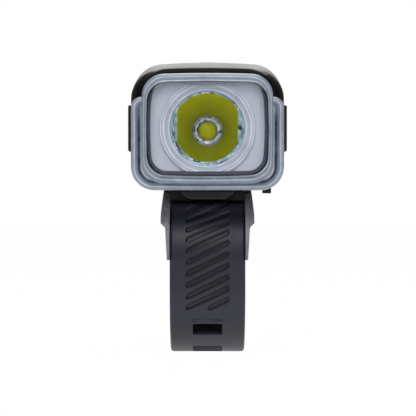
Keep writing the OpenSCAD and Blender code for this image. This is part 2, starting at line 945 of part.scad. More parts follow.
module tab_pin() {
    color("#8d9094") translate([0, tab_y, tab_z]) rotate([0, 90, 0]) {
        cylinder(h = 2 * (tab_half + pin_grip), d = tab_pin_d, center = true);
    }
}

module strap_pin() {
    color("#8d9094") translate([0, eye_y, eye_z]) rotate([0, 90, 0]) {
        cylinder(h = 2 * (cheek_out - pin_inset), d = eye_pin_d, center = true);
    }
}

// The closed strap in side view, from the eye round to the bend line
module strap_profile() {
    sector(strap_in, strap_out, eye_angle, 90);
    translate([eye_y, eye_z]) circle(d = eye_d);
    translate([-strap_out, -strap_drop]) square([strap_t, strap_drop]);
    translate([0, -strap_drop]) sector(strap_in, strap_out, 90, 270);
    translate([strap_in, -strap_drop]) square([strap_t, strap_drop - bend_z]);
}

// Grooves on the front run, each a slot with round ends, rising to the right
module strap_groove(length) {
    rotate([0, groove_tilt, 0]) {
        translate([-length / 2, -groove_depth, -groove_w / 2]) cube([length, strap_t, groove_w]);
        for (x = [-length / 2, length / 2]) {
            translate([x, strap_t - groove_depth, 0]) rotate([90, 0, 0]) cylinder(h = strap_t, d = groove_w);
        }
    }
}

module groove_cuts() {
    step_angle = groove_pitch / strap_out * 180 / PI;
    for (i = [0 : groove_n - 1]) {
        a = groove_start + i * step_angle;
        along = (a - 90) / 180 * PI * strap_out;
        lower = a > 90 ? min(along, strap_drop) : 0;
        turn = a > 90 ? max(along - strap_drop, 0) / strap_out * 180 / PI : a - 90;
        short = i == groove_n - 1 ? groove_span / 2 : 0;
        rise = short / 2 * tan(groove_tilt);
        translate([0, 0, -lower]) rotate([turn, 0, 0]) translate([short / 2, -strap_out, rise]) rotate([0, 0, 180])
            strap_groove(groove_span - groove_w - short);
    }
}

// Puts its children at ladder hole i, with the strap's outer face towards +Y
module at_hole(i) {
    run = hole_run(i);
    if (run >= 0) {
        translate([0, strap_out, run - strap_drop]) children();
    } else {
        translate([0, 0, -strap_drop]) rotate([-below_bend(i), 0, 0]) translate([0, strap_out, 0]) children();
    }
}

module ladder_holes(first, last) {
    for (i = [first : last]) {
        at_hole(i) translate([-hole_w / 2, -2 * strap_t, -hole_l / 2]) cube([hole_w, 3 * strap_t, hole_l]);
    }
}

module ladder_rungs(first, last) {
    for (i = [first : last]) {
        at_hole(i) translate([0, -rung_sink, -hole_l / 2 - rung_d / 2]) rotate([0, 90, 0]) {
            cylinder(h = hole_w, d = rung_d, center = true);
        }
    }
}

module strap_front() {
    color("#3c3c44") difference() {
        union() {
            along_x(-strap_half, strap_half) strap_profile();
            ladder_rungs(1, hole_n - 1);
        }
        translate([0, eye_y, eye_z]) rotate([0, 90, 0]) {
            cylinder(h = far, d = eye_pin_d + 2 * pin_gap, center = true);
        }
        groove_cuts();
        ladder_holes(1, hole_n - 1);
    }
}

// The strap's free end: a straight run over the stud and a flared pull tab
module strap_tail() {
    color("#3c3c44") difference() {
        union() {
            along_x(-strap_half, strap_half) {
                translate([strap_in, -bend_z]) square([strap_t, tail_top + bend_z]);
                translate([strap_mid, tail_top]) circle(pull_r);
                translate([strap_mid, tail_top]) rotate(-pull_angle) {
                    translate([-pull_r, 0]) square([strap_t, pull_l]);
                    translate([0, pull_l]) circle(pull_r);
                }
            }
            ladder_rungs(0, 0);
        }
        ladder_holes(0, 0);
    }
}

housing_top();
housing_base();
lens_cover();
lens_gasket();
face_plate();
bezel_ring();
reflector();
led_collar();
led_dome();
led_board();
heat_sink();
battery_cell();
battery_carrier();
battery_contacts();
control_board();
tact_switch();
usb_socket();
usb_board();
usb_cover();
power_button();
side_trim_left();
side_trim_right();
lamp_foot();
foot_screws();
housing_screws();
bracket_base();
saddle_pad();
release_tab();
tab_pin();
strap_pin();
strap_front();
strap_tail();
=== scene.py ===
# %% [markdown]
# # Dressing a bicycle headlight
# The engineering model gives every piece its size and place. This lesson gives each piece its look:
# rounder edges, a clear lens, a mirror bowl, moulded plastic and rubber. Everything is in metres, in the
# engineering model's own frame: the handlebar's axis is X, up is +Z, and the beam leaves along -Y.

# %% Load the frame
import math

import bmesh
import bpy
from mathutils import Matrix, Vector


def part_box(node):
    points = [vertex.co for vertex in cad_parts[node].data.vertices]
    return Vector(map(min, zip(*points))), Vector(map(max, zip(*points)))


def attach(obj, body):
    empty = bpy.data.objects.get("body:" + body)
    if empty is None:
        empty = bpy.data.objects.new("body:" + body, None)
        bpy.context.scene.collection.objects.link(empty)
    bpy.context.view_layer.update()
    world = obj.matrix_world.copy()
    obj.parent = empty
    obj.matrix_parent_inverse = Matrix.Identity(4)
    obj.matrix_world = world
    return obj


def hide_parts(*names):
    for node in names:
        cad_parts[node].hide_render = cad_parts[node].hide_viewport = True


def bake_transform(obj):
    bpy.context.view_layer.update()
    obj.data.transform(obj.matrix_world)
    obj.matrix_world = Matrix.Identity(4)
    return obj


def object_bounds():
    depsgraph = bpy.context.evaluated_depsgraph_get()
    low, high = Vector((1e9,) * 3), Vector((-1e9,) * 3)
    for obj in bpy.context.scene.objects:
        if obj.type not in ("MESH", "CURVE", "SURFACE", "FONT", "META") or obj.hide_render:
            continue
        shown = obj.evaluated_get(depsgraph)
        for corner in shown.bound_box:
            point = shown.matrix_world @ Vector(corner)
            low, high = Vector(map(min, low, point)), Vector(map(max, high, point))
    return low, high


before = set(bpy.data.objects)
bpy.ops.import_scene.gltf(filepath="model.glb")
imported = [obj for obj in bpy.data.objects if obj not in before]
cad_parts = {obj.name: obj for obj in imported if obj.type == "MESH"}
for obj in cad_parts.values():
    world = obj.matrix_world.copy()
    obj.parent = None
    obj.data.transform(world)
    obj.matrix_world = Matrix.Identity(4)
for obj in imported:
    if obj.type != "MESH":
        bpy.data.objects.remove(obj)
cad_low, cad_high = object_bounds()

mm = 0.001
print("engineering box, mm:", [round(c / mm, 1) for c in (cad_high - cad_low)])

# %% [markdown]
# ## Small tools for every node tree
# Colours are written as sRGB hex values, as a paint chart gives them, and shaders need linear light, so
# one function converts them. Another adds any node, sets it and links it, for shaders and geometry alike.
# The rest are short forms of what many trees need.

# %% Colour and node tools
def linear(colour):
    """An sRGB hex colour as the linear RGBA that shaders work in."""
    parts = [int(colour[i:i + 2], 16) / 255 for i in (1, 3, 5)]
    return [c / 12.92 if c <= 0.04045 else ((c + 0.055) / 1.055) ** 2.4 for c in parts] + [1.0]


def add(tree, kind, inputs=None, **settings):
    """Adds one node: settings are its properties, and inputs are values to set or sockets to link."""
    node = tree.nodes.new(kind)
    for name, value in settings.items():
        setattr(node, name, value)
    for key, value in (inputs or {}).items():
        if isinstance(value, bpy.types.NodeSocket):
            tree.links.new(value, node.inputs[key])
        else:
            node.inputs[key].default_value = value
    return node


def calc(tree, operation, *values):
    """The result of one arithmetic node on numbers or sockets."""
    return add(tree, "ShaderNodeMath", dict(enumerate(values)), operation=operation).outputs[0]


def remap(tree, value, source, target, **settings):
    """A value carried from one (low, high) range to another, and held at its ends."""
    inputs = dict(enumerate((value, *source, *target)))
    return add(tree, "ShaderNodeMapRange", inputs, **settings).outputs[0]


def new_finish(name, constants=None):
    """A material with its tree and its shader, and these constants on the shader's own sockets."""
    material = bpy.data.materials.new(name)
    material.use_nodes = True
    shader = material.node_tree.nodes["Principled BSDF"]
    for socket, value in (constants or {}).items():
        shader.inputs[socket].default_value = value
    return material, material.node_tree, shader


def mix_shaders(tree, share, first, second):
    """Sends a mix of two shaders to the material's output."""
    mixed = add(tree, "ShaderNodeMixShader", {0: share, 1: first.outputs[0], 2: second.outputs[0]})
    tree.links.new(mixed.outputs[0], tree.nodes["Material Output"].inputs["Surface"])


print("black as linear light:", [round(c, 4) for c in linear("#141416")])

# %% [markdown]
# ## The camera
# The photograph looks straight at the lens from a little below its middle, from far enough away that the
# sides hardly show. A long lens, 400 mm away, gives that, and frames 114 mm at the lens's front.

# %% Camera
lens_low, lens_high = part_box("lens_cover")
camera_distance = 400 * mm
camera_height = 15.6 * mm
camera_side = 0.14 * mm
framed_width = 114 * mm

camera_data = bpy.data.cameras.new("photo_camera")
camera_data.sensor_width = 36
camera_data.lens = camera_data.sensor_width * camera_distance / framed_width
camera_data.clip_start = 0.01
camera = bpy.data.objects.new("photo_camera", camera_data)
camera.location = (camera_side, lens_low.y - camera_distance, camera_height)
camera.rotation_euler = (math.radians(90), 0, 0)
bpy.context.scene.collection.objects.link(camera)
bpy.context.scene.camera = camera
print("focal length, mm:", round(camera_data.lens, 1))

# %% [markdown]
# ## The studio
# The world is white for what the camera sees directly. For light that comes through the lens or off a
# surface it is white behind the lamp and dim behind the camera, as in a studio with a white backdrop. For
# reflections the backdrop is also narrow, so the roof shows a pale band that dies out at its corners, and
# the mirror bowl keeps its depth.

# %% World
scene = bpy.context.scene
scene.view_settings.view_transform = "Standard"

ambient = 0.16
bright_back, dim_front, dim_sides = 1.1, 0.06, 0.12
back_span, side_span = (-0.25, 0.35), (0.1, 0.26)

world = bpy.data.worlds.new("studio")
scene.world = world
world.use_nodes = True
sky = world.node_tree
path = add(sky, "ShaderNodeLightPath").outputs
direction = add(sky, "ShaderNodeTexCoord").outputs["Generated"]
towards = add(sky, "ShaderNodeSeparateXYZ", {0: direction}).outputs
backdrop = remap(sky, towards["Y"], back_span, (dim_front, bright_back), interpolation_type="SMOOTHSTEP")
sideways = calc(sky, "ABSOLUTE", towards["X"])
narrow = remap(sky, sideways, side_span, (1.0, dim_sides), interpolation_type="SMOOTHSTEP")
mirrored = calc(sky, "MULTIPLY", backdrop, narrow)
strength = ambient
for ray, value in (("Is Glossy Ray", mirrored), ("Is Transmission Ray", backdrop), ("Is Camera Ray", 1.0)):
    strength = add(sky, "ShaderNodeMix", {0: path[ray], 2: strength, 3: value}).outputs[0]
sky.links.new(strength, sky.nodes["Background"].inputs["Strength"])
sky.nodes["Background"].inputs["Color"].default_value = linear("#ffffff")
print("world nodes:", len(sky.nodes))

# %% [markdown]
# ### Soft boxes
# Two small soft boxes stand at the sides, and larger ones above, in front and behind. The two side boxes
# only fill shadows: without a reflection of their own they leave no glare on the roof.

# %% Soft boxes
target = Vector((0, lens_low.y, (cad_low.z + cad_high.z) / 2))


def soft_box(name, place, width, height, watts):
    """An area light at a place, with its size in metres, turned to the object."""
    light = bpy.data.lights.new(name, "AREA")
    light.shape = "RECTANGLE"
    light.size, light.size_y = width, height
    light.energy = watts
    lamp = bpy.data.objects.new(name, light)
    lamp.location = place
    lamp.rotation_euler = (target - Vector(place)).to_track_quat("-Z", "Y").to_euler()
    lamp.visible_camera = False
    scene.collection.objects.link(lamp)
    return lamp


for name, side in (("left_box", -1), ("right_box", 1)):
    fill = soft_box(name, (side * 0.42, -0.56, 0.2), 0.14, 0.18, 0.9)
    fill.visible_glossy = False
soft_box("front_box", (0, -0.5, 0.62), 0.6, 0.4, 2.7)
soft_box("top_box", (0, 0.1, 0.75), 0.7, 0.7, 1.5)
soft_box("back_box", (0.1, 0.45, 0.75), 0.5, 0.4, 1.5)
print("soft boxes:", len(bpy.data.lights))

# %% [markdown]
# ### Floor
# A pale paper floor. To the camera, and in what is seen through the lens or mirrored, it is nearly all
# white, so it runs into the background. To all other light it is plain paper, so it still fills shadows
# from below.

# %% Floor
floor_gap, floor_size, white_part = 0.2 * mm, 6.0, 0.99
floor_z, edge = cad_low.z - floor_gap, floor_size / 2
floor_corners = ((-edge, -edge), (edge, -edge), (edge, edge), (-edge, edge))
floor_mesh = bpy.data.meshes.new("floor")
floor_mesh.from_pydata([(x, y, floor_z) for x, y in floor_corners], [], [(0, 1, 2, 3)])
floor = bpy.data.objects.new("floor", floor_mesh)
scene.collection.objects.link(floor)
# Plain white paper: matt, with no sheen
paper, sheet, paper_shader = new_finish("floor_white_paper", {
    "Base Color": linear("#f4f4f4"), "Roughness": 0.9, "Specular IOR Level": 0.0})
rays = add(sheet, "ShaderNodeLightPath").outputs
seen = calc(sheet, "MAXIMUM", rays["Is Camera Ray"], rays["Is Transmission Ray"])
seen = calc(sheet, "MAXIMUM", seen, rays["Is Glossy Ray"])
glow = add(sheet, "ShaderNodeEmission", {"Color": linear("#ffffff"), "Strength": 1.0})
mix_shaders(sheet, calc(sheet, "MULTIPLY", seen, white_part), paper_shader, glow)
floor_mesh.materials.append(paper)
print("floor at z, mm:", round(floor_z / mm, 2))

# %% [markdown]
# ## Patterns for finishes
# Every finish is made of a few patterns in object space, so their sizes are real ones: noise, a tone
# between two colours, a ramp through several, and a bump of a given depth.

# %% Pattern tools
noise_span = (0.3, 0.7)


def object_place(tree):
    """The place on the piece, in metres."""
    return add(tree, "ShaderNodeTexCoord").outputs["Object"]


def noise(tree, size, detail=2.0):
    """Noise with features of a size in metres. Its values lie mostly within noise_span."""
    inputs = {"Vector": object_place(tree), "Scale": 1 / size, "Detail": detail}
    return add(tree, "ShaderNodeTexNoise", inputs).outputs["Fac"]


def attribute(tree, name):
    """A share that the mesh carries on its own points."""
    return add(tree, "ShaderNodeAttribute", attribute_name=name).outputs["Fac"]


def tint(tree, share, first, second):
    """A colour part of the way from one to another."""
    return add(tree, "ShaderNodeMix", {0: share, 6: first, 7: second}, data_type="RGBA").outputs[2]


def colour_ramp(tree, share, places, tones):
    """A colour from sRGB tones at places from 0 to 1."""
    ramp = add(tree, "ShaderNodeValToRGB", {0: share})
    stops = ramp.color_ramp.elements
    stops[0].color, stops[1].color = linear(tones[0]), linear(tones[-1])
    for place, tone in list(zip(places, tones))[1:-1]:
        stops.new(place).color = linear(tone)
    return ramp.outputs[0]


def bump(tree, height, depth):
    """A surface normal from a pattern of heights, with its depth in metres."""
    return add(tree, "ShaderNodeBump", {"Height": height, "Distance": depth, "Strength": 1.0}).outputs[0]


def wire(tree, shader, sources):
    """Links outputs to a shader's sockets by their names."""
    for socket, source in sources.items():
        tree.links.new(source, shader.inputs[socket])


print("pattern tools ready")

# %% [markdown]
# ## Moulded plastics and rubbers
# Injection moulds are spark eroded or polished, so plastic and rubber come out with a fine grain, and
# their gloss drifts slowly over the surface. One function makes that family: a noise a few millimetres
# across for tone and gloss, and a bump with the grain's own size. A grain finer than a pixel is drawn
# coarser so that it shows.

# %% Moulded finishes
def moulded(name, colour, second, gloss, grain, depth, drift=5 * mm, shade=None):
    """Plastic or rubber: two close tones, a roughness range and a moulded grain, with sizes in metres.

    With a shade colour, the tone goes to it where the mesh's own shade attribute is high: painted shade, or
    painted light when the colour is pale.
    """
    material, tree, shader = new_finish(name)
    cloud = noise(tree, drift, detail=4.0)
    tone = tint(tree, cloud, linear(colour), linear(second))
    if shade:
        tone = tint(tree, attribute(tree, "shade"), tone, linear(shade))
    wire(tree, shader, {"Base Color": tone, "Roughness": remap(tree, cloud, noise_span, gloss),
                        "Normal": bump(tree, noise(tree, grain), depth)})
    return material


# ABS from a polished mould: near black, semi-gloss, mirror-like at a glancing angle
abs_polished_black = moulded("abs_polished_black", "#0c0c0d", "#121214", (0.2, 0.27), 0.6 * mm, 0.001 * mm)
# ABS from a finely etched mould: the side strips, a shade duller than the shells
abs_etched_black = moulded("abs_etched_black", "#0a0a0b", "#111113", (0.38, 0.46), 0.35 * mm, 0.012 * mm)
# Glass-filled nylon from a spark-eroded mould: dark grey with a speckled sparkle; the lighter grey is partly
# painted light, for the lit cheeks
nylon_spark_eroded = moulded("nylon_spark_eroded", "#3c3d42", "#97989f", (0.36, 0.5), 0.45 * mm, 0.06 * mm,
                             drift=0.7 * mm)
# The same nylon from a polished mould, for the saddle, the lever and the foot: darker and smoother; the
# darkness is partly painted shade, for the parts under the lamp
nylon_polished_black = moulded("nylon_polished_black", "#0e0f10", "#151618", (0.3, 0.4), 0.5 * mm, 0.01 * mm)
# Thermoplastic rubber, moulded and slightly bloomed: blue-grey black, dull, with painted shade in its grooves
# and on its inner face
strap_rubber_moulded = moulded("strap_rubber_moulded", "#20212d", "#272837", (0.4, 0.5), 0.4 * mm, 0.012 * mm,
                               drift=9 * mm, shade="#0b0b0f")
# Softer rubber of the saddle pad, the button and the charging cover: charcoal, with a dry and even dullness
pad_rubber_moulded = moulded("pad_rubber_moulded", "#202125", "#292a2f", (0.6, 0.72), 0.5 * mm, 0.02 * mm)
button_rubber_moulded = moulded("button_rubber_moulded", "#17171a", "#1e1e22", (0.5, 0.62), 0.4 * mm,
                                0.015 * mm)
cover_rubber_moulded = moulded("cover_rubber_moulded", "#101012", "#17171a", (0.5, 0.6), 0.4 * mm, 0.015 * mm)
# Silicone seal behind the window: dark grey, with painted light along its top run, standing in for light the
# lens sends onto it
seal_silicone_moulded = moulded("seal_silicone_moulded", "#363844", "#525462", (0.4, 0.6), 0.5 * mm,
                                0.02 * mm, drift=2.5 * mm, shade="#d3d7e0")
# Polycarbonate face plate, moulded with a satin face: pale blue-grey
plate_polycarbonate_satin = moulded("plate_polycarbonate_satin", "#babfcc", "#bfc4d0", (0.34, 0.42), 0.4 * mm,
                                    0.004 * mm)
# Black carrier and switch body inside the lamp: plain moulded ABS with a dull face
inner_abs_plain = moulded("inner_abs_plain", "#1c1d1f", "#242527", (0.5, 0.6), 0.5 * mm, 0.01 * mm)
print("moulded finishes:", len(bpy.data.materials) - 1)

# %% [markdown]
# ## Clear polycarbonate
# The lens is moulded in one piece. Its window is polished and clear. Its rim is thick, so it gathers
# light from all round and looks milky blue-grey, with painted highlights and painted shade in lines round it.

# %% Clear finishes
# The window: polished polycarbonate, clear, with a faint reflection of the studio
polycarbonate_window, window_tree, window_shader = new_finish("polycarbonate_window", {
    "Base Color": linear("#fafafb"), "Roughness": 0.015, "IOR": 1.585, "Transmission Weight": 1.0})
shadow_ray = add(window_tree, "ShaderNodeLightPath").outputs["Is Shadow Ray"]
let_through = add(window_tree, "ShaderNodeBsdfTransparent", {"Color": linear("#f6f6f7")})
mix_shaders(window_tree, shadow_ray, window_shader, let_through)


def painted_light_finish(name, tones, flow_size, gloss, **constants):
    """A finish with flow marks and painted light: its tone follows the mesh's own tone attribute from painted
    shade to painted highlight.
    """
    flow_mark = 0.08
    material, tree, shader = new_finish(name, {k.replace("_", " "): v for k, v in constants.items()})
    flow = noise(tree, flow_size)
    drift = remap(tree, flow, noise_span, (-flow_mark, flow_mark))
    places = [i / (len(tones) - 1) for i in range(len(tones))]
    tone = colour_ramp(tree, calc(tree, "ADD", attribute(tree, "tone"), drift), places, tones)
    wire(tree, shader, {"Base Color": tone, "Roughness": remap(tree, flow, noise_span, gloss)})
    return material


# The lens's thick rim: blue-grey, with painted shade in its grooves and painted highlights on its ridges
polycarbonate_rim = painted_light_finish("polycarbonate_rim", ("#2c303b", "#8d9bb0", "#a9b5c6", "#f4f7fb"), 3.5 * mm,
                          (0.1, 0.22), IOR=1.585, Transmission_Weight=0.35, Coat_Weight=0.4,
                          Coat_Roughness=0.05)
# The bezel ring: moulded plastic with a silver lacquer, with painted highlights on its ridges and painted
# shade at its edges
ring_silver_lacquer = painted_light_finish("ring_silver_lacquer", ("#4d5360", "#9aa3b3", "#b4bccb", "#ffffff"), 5 * mm,
                            (0.25, 0.35), Coat_Weight=0.5, Coat_Roughness=0.08)
print("clear finishes:", polycarbonate_window.name, polycarbonate_rim.name)

# %% [markdown]
# ## Metals, coatings and the emitter
# The bowl is plastic with a vacuum-deposited aluminium mirror, and its sides are stepped into small
# facets. The collar round the emitter is plated. The facets and the collar carry painted glints: pale and
# dark patches in their colour stand in for their reflections. The emitter's dome is clear silicone over
# yellow phosphor. Metals inside the lamp are smooth, with a faint ripple.

# %% Metal finishes
def plated(name, colour, gloss, ripple, depth):
    """A metal or a mirror coat: smooth, with a faint ripple of a given size and depth in metres."""
    material, tree, shader = new_finish(name, {"Base Color": linear(colour), "Metallic": 1.0})
    wave = noise(tree, ripple, detail=3.0)
    wire(tree, shader, {"Roughness": remap(tree, wave, noise_span, gloss), "Normal": bump(tree, wave, depth)})
    return material


def facets_with_painted_glints(name, size, depth, tones):
    """A mirror coat over small facets, each painted in one of five tones that stand in for its reflection.
    Sizes are in metres.
    """
    places = (0, 0.22, 0.5, 0.8, 1)
    material, tree, shader = new_finish(name, {"Metallic": 0.25, "Roughness": 0.2})
    cells = add(tree, "ShaderNodeTexVoronoi", {"Vector": object_place(tree), "Scale": 1 / size}).outputs
    patch = add(tree, "ShaderNodeSeparateColor", {0: cells["Color"]}).outputs[0]
    wire(tree, shader, {"Base Color": colour_ramp(tree, patch, places, tones),
                        "Normal": bump(tree, cells["Distance"], depth)})
    return material


# The bowl: a vacuum-coated mirror, clean and bright
mirror_vacuum_coated = plated("mirror_vacuum_coated", "#e6eaef", (0.02, 0.05), 4 * mm, 0.004 * mm)
# The bowl's side facets: the same coat over a stepped mould, in pale blue patches of a few tones, which are
# painted reflections
facet_vacuum_coated = facets_with_painted_glints("facet_vacuum_coated", 1.2 * mm, 0.1 * mm,
                              ("#1d2731", "#88adc5", "#a4c9df", "#c2e2f0", "#ffffff"))
# The collar: chrome plate over fine teeth, with painted glints in white and blue-grey
collar_chrome_plated = facets_with_painted_glints("collar_chrome_plated", 0.7 * mm, 0.06 * mm,
                               ("#2e3640", "#b4c6d4", "#d6e2ea", "#f2f7fa", "#ffffff"))
# Screws, pins and the socket: zinc on steel, grey and softly bright
steel_zinc_plated = plated("steel_zinc_plated", "#a7a9ad", (0.26, 0.4), 0.8 * mm, 0.01 * mm)
# The heat sink: extruded aluminium, paler and duller than the screws
aluminium_extruded = plated("aluminium_extruded", "#b2b4b8", (0.35, 0.5), 0.5 * mm, 0.01 * mm)
# The contacts: nickel on brass, with a warm tone
brass_nickel_plated = plated("brass_nickel_plated", "#c6b27e", (0.25, 0.38), 0.8 * mm, 0.008 * mm)
# The emitter: clear silicone over phosphor, a strong yellow that the bowl mirrors
phosphor_silicone_dome, phosphor_tree, phosphor_shader = new_finish("phosphor_silicone_dome", {
    "Roughness": 0.12, "Specular IOR Level": 0.2})
powder = noise(phosphor_tree, 0.5 * mm)
wire(phosphor_tree, phosphor_shader, {
    "Base Color": tint(phosphor_tree, powder, linear("#a6a700"), linear("#b6b602"))})
print("materials so far:", len(bpy.data.materials))

# %% [markdown]
# ## Boards and the cell
# Circuit boards carry a solder mask with the copper showing as slightly lighter lines. The cell wears a
# shrunk film. They hide inside the lamp, and show when it is taken apart.

# %% Board and cell finishes
def masked_board(name, mask, copper, pitch):
    """A circuit board: lines of copper under a lacquer, a given pitch apart."""
    material, tree, shader = new_finish(name, {"Roughness": 0.4, "Coat Weight": 0.3})
    lines = add(tree, "ShaderNodeTexBrick", {
        "Vector": object_place(tree), "Scale": 1.0, "Color1": linear(mask), "Color2": linear(mask),
        "Mortar": linear(copper), "Mortar Size": pitch / 8, "Brick Width": 4 * pitch, "Row Height": pitch})
    wire(tree, shader, {"Base Color": lines.outputs["Color"]})
    return material


# Fibreglass boards under a green solder mask, and the emitter's aluminium board under a white one
board_solder_mask = masked_board("board_solder_mask", "#14532f", "#2f7a4d", 1.3 * mm)
board_white_mask = masked_board("board_white_mask", "#e6e6e0", "#c9c9c2", 1.6 * mm)
# The cell's shrunk film: blue and glossy
cell_shrunk_film = moulded("cell_shrunk_film", "#275f8c", "#2f6c9c", (0.25, 0.35), 1.5 * mm, 0.01 * mm)
print("materials:", len(bpy.data.materials))

# %% [markdown]
# ## Outlines and skins
# A piece is a mesh at the origin with its place in its points, like the engineering nodes. Most skins
# here are lofts: rings of points with faces between them. An outline is a rounded rectangle in X and Z,
# and a tube is a loft that runs back to its first ring, which makes frames and rings.

# %% Outline and skin tools
def clamp(value, low=0.0, high=1.0):
    """A number kept between two limits."""
    return min(max(value, low), high)


def mix(first, second, share):
    """A number part of the way from one to another."""
    return first + (second - first) * share


def between(first, second, share):
    """Points part of the way from one row of (x, z) points to another."""
    return [(mix(a[0], b[0], share), mix(a[1], b[1], share)) for a, b in zip(first, second)]


def around(steps):
    """Equal turns round a full circle, in radians."""
    return [math.tau * i / steps for i in range(steps)]


def rounded_outline(half, low, high, low_r, high_r, crown=0.0, belly=0.0, steps=10, side_steps=8):
    """Points (x, z) round a rectangle with round corners, with its top, floor and sides bowed out."""
    corners = ((half - high_r, high - high_r, high_r, 0), (high_r - half, high - high_r, high_r, 90),
               (low_r - half, low + low_r, low_r, 180), (half - low_r, low + low_r, low_r, 270))
    arcs = []
    for x, z, r, start in corners:
        turns = [math.radians(start + 90 * i / steps) for i in range(steps + 1)]
        arcs.append([(x + r * math.cos(a), z + r * math.sin(a)) for a in turns])
    points = []
    for arc, following in zip(arcs, arcs[1:] + arcs[:1]):
        points += arc
        for i in range(1, side_steps):
            points += between(arc[-1:], following[:1], i / side_steps)
    middle, reach = (low + high) / 2, (high - low) / 2
    lifts = [(z - middle) / reach for x, z in points]
    return [(x * (1 - belly / half * lift ** 2), z - crown * (x / half) ** 2 * lift)
            for (x, z), lift in zip(points, lifts)]


def level_ring(outline, y):
    """An (x, z) outline as points at one distance along Y."""
    return [(x, y, z) for x, z in outline]


def loft(rings, first_cap=True, last_cap=True, wrap=True, tones=None):
    """A skin through rings of equally many points, with a tone of painted light and shade for each ring or
    for each point of it.
    """
    skin = bmesh.new()
    tone = skin.verts.layers.float.new("tone")
    rows = [[skin.verts.new(point) for point in ring] for ring in rings]
    for row, value in zip(rows, tones or ()):
        for i, vert in enumerate(row):
            vert[tone] = value[i] if isinstance(value, list) else value
    for near, far in zip(rows, rows[1:]):
        for i in range(len(near) if wrap else len(near) - 1):
            j = (i + 1) % len(near)
            skin.faces.new((near[i], near[j], far[j], far[i]))
    if first_cap:
        skin.faces.new(list(reversed(rows[0])))
    if last_cap:
        skin.faces.new(rows[-1])
    bmesh.ops.recalc_face_normals(skin, faces=skin.faces)
    return skin


def fill_holes(skin):
    """Closes every open edge loop with a face."""
    bmesh.ops.holes_fill(skin, edges=[e for e in skin.edges if e.is_boundary])


def tube(rings, tones=None, wrap=True):
    """A closed skin through rings and back to the first. Without wrap its two open ends are filled."""
    tones = tones + tones[:1] if tones else None
    skin = loft(rings + rings[:1], False, False, wrap, tones)
    bmesh.ops.remove_doubles(skin, verts=skin.verts, dist=0.001 * mm)
    fill_holes(skin)
    bmesh.ops.recalc_face_normals(skin, faces=skin.faces)
    return skin


def slice_off(skin, level, above):
    """Takes away what lies above a level, or below it."""
    everything = [*skin.verts, *skin.edges, *skin.faces]
    bmesh.ops.bisect_plane(skin, geom=everything, plane_co=(0, 0, level), plane_no=(0, 0, 1),
                           clear_inner=not above, clear_outer=above)


print("points of an outline:", len(rounded_outline(2, -1, 1, 0.5, 0.5)))

# %% [markdown]
# ## Building and seating a piece
# These helpers make an object from a skin or from a copy of a node, give it a wall, round its edges, cut
# it or join it, and hand it to the body that it moves with. Each modifier is turned into a plain mesh at
# once.

# %% Piece tools
smooth_below = 35


def make_piece(name, skin, *materials, sharp=smooth_below):
    """An object from a bmesh, smooth except at edges sharper than an angle in degrees."""
    mesh = bpy.data.meshes.new(name)
    skin.to_mesh(mesh)
    skin.free()
    for material in materials:
        mesh.materials.append(material)
    mesh.shade_smooth()
    mesh.set_sharp_from_angle(angle=math.radians(sharp))
    piece = bpy.data.objects.new(name, mesh)
    scene.collection.objects.link(piece)
    return piece


def settle(piece):
    """Turns the piece and its modifiers into one plain mesh."""
    graph = bpy.context.evaluated_depsgraph_get()
    mesh = bpy.data.meshes.new_from_object(piece.evaluated_get(graph), depsgraph=graph)
    piece.modifiers.clear()
    piece.data = mesh
    return piece


def thicken(piece, thickness):
    """Gives a skin a wall on its inner side."""
    wall = piece.modifiers.new("wall", "SOLIDIFY")
    wall.thickness, wall.offset = thickness, -1
    return settle(piece)


def round_edges(piece, width, segments=3, angle=32, clamp_overlap=False, harden=True):
    """Rounds edges sharper than an angle in degrees, and keeps flat faces flat in the shading."""
    bevel = piece.modifiers.new("edges", "BEVEL")
    bevel.width = width
    bevel.segments = segments
    bevel.limit_method = "ANGLE"
    bevel.angle_limit = math.radians(angle)
    bevel.use_clamp_overlap = clamp_overlap
    bevel.harden_normals = harden
    return settle(piece)


def carve(piece, *cutters):
    """Cuts closed solids out of a piece and deletes them."""
    for cutter in cutters:
        cut = piece.modifiers.new("cut", "BOOLEAN")
        cut.operation = "DIFFERENCE"
        cut.solver = "EXACT"
        cut.object = cutter
    settle(piece)
    piece.data.set_sharp_from_angle(angle=math.radians(smooth_below))
    for cutter in cutters:
        bpy.data.objects.remove(cutter)
    return piece


def join(piece, *others):
    """Adds other pieces' meshes to a piece, and deletes them."""
    skin = bmesh.new()
    for part in (piece, *others):
        skin.from_mesh(part.data)
    skin.to_mesh(piece.data)
    skin.free()
    for other in others:
        bpy.data.objects.remove(other)
    return piece


def merged_copy(node):
    """A bmesh of a CAD node with shared corners merged and flat triangles joined into whole faces."""
    skin = bmesh.new()
    skin.from_mesh(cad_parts[node].data)
    bmesh.ops.remove_doubles(skin, verts=skin.verts, dist=0.002 * mm)
    bmesh.ops.dissolve_limit(skin, angle_limit=math.radians(0.5), verts=skin.verts, edges=skin.edges)
    return skin


def set_shade(piece, rule):
    """Writes a share of painted shade or painted light on each point, by a rule for its place."""
    shade = piece.data.attributes.new("shade", "FLOAT", "POINT")
    shade.data.foreach_set("value", [rule(vert.co) for vert in piece.data.vertices])


def seat(piece, body, slot, *nodes):
    """Hands a finished piece to its body, with the nodes that it stands for."""
    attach(piece, body)
    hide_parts(*nodes)
    print(piece.name, "faces:", len(piece.data.polygons))
    return piece


def softened(node, name, body, slot, material, width, segments=3):
    """A copy of a node with rounded edges, in its place."""
    piece = make_piece(name, merged_copy(node), material)
    return seat(round_edges(piece, width, segments), body, slot, node)


print("piece tools ready")

# %% [markdown]
# ## Geometry Nodes
# What repeats or follows a rule is grown by Geometry Nodes. A tree's sizes are named inputs, and every
# tree ends the same way: its copies are made real, and they get their finish. A grown piece is then a
# plain mesh like the rest.

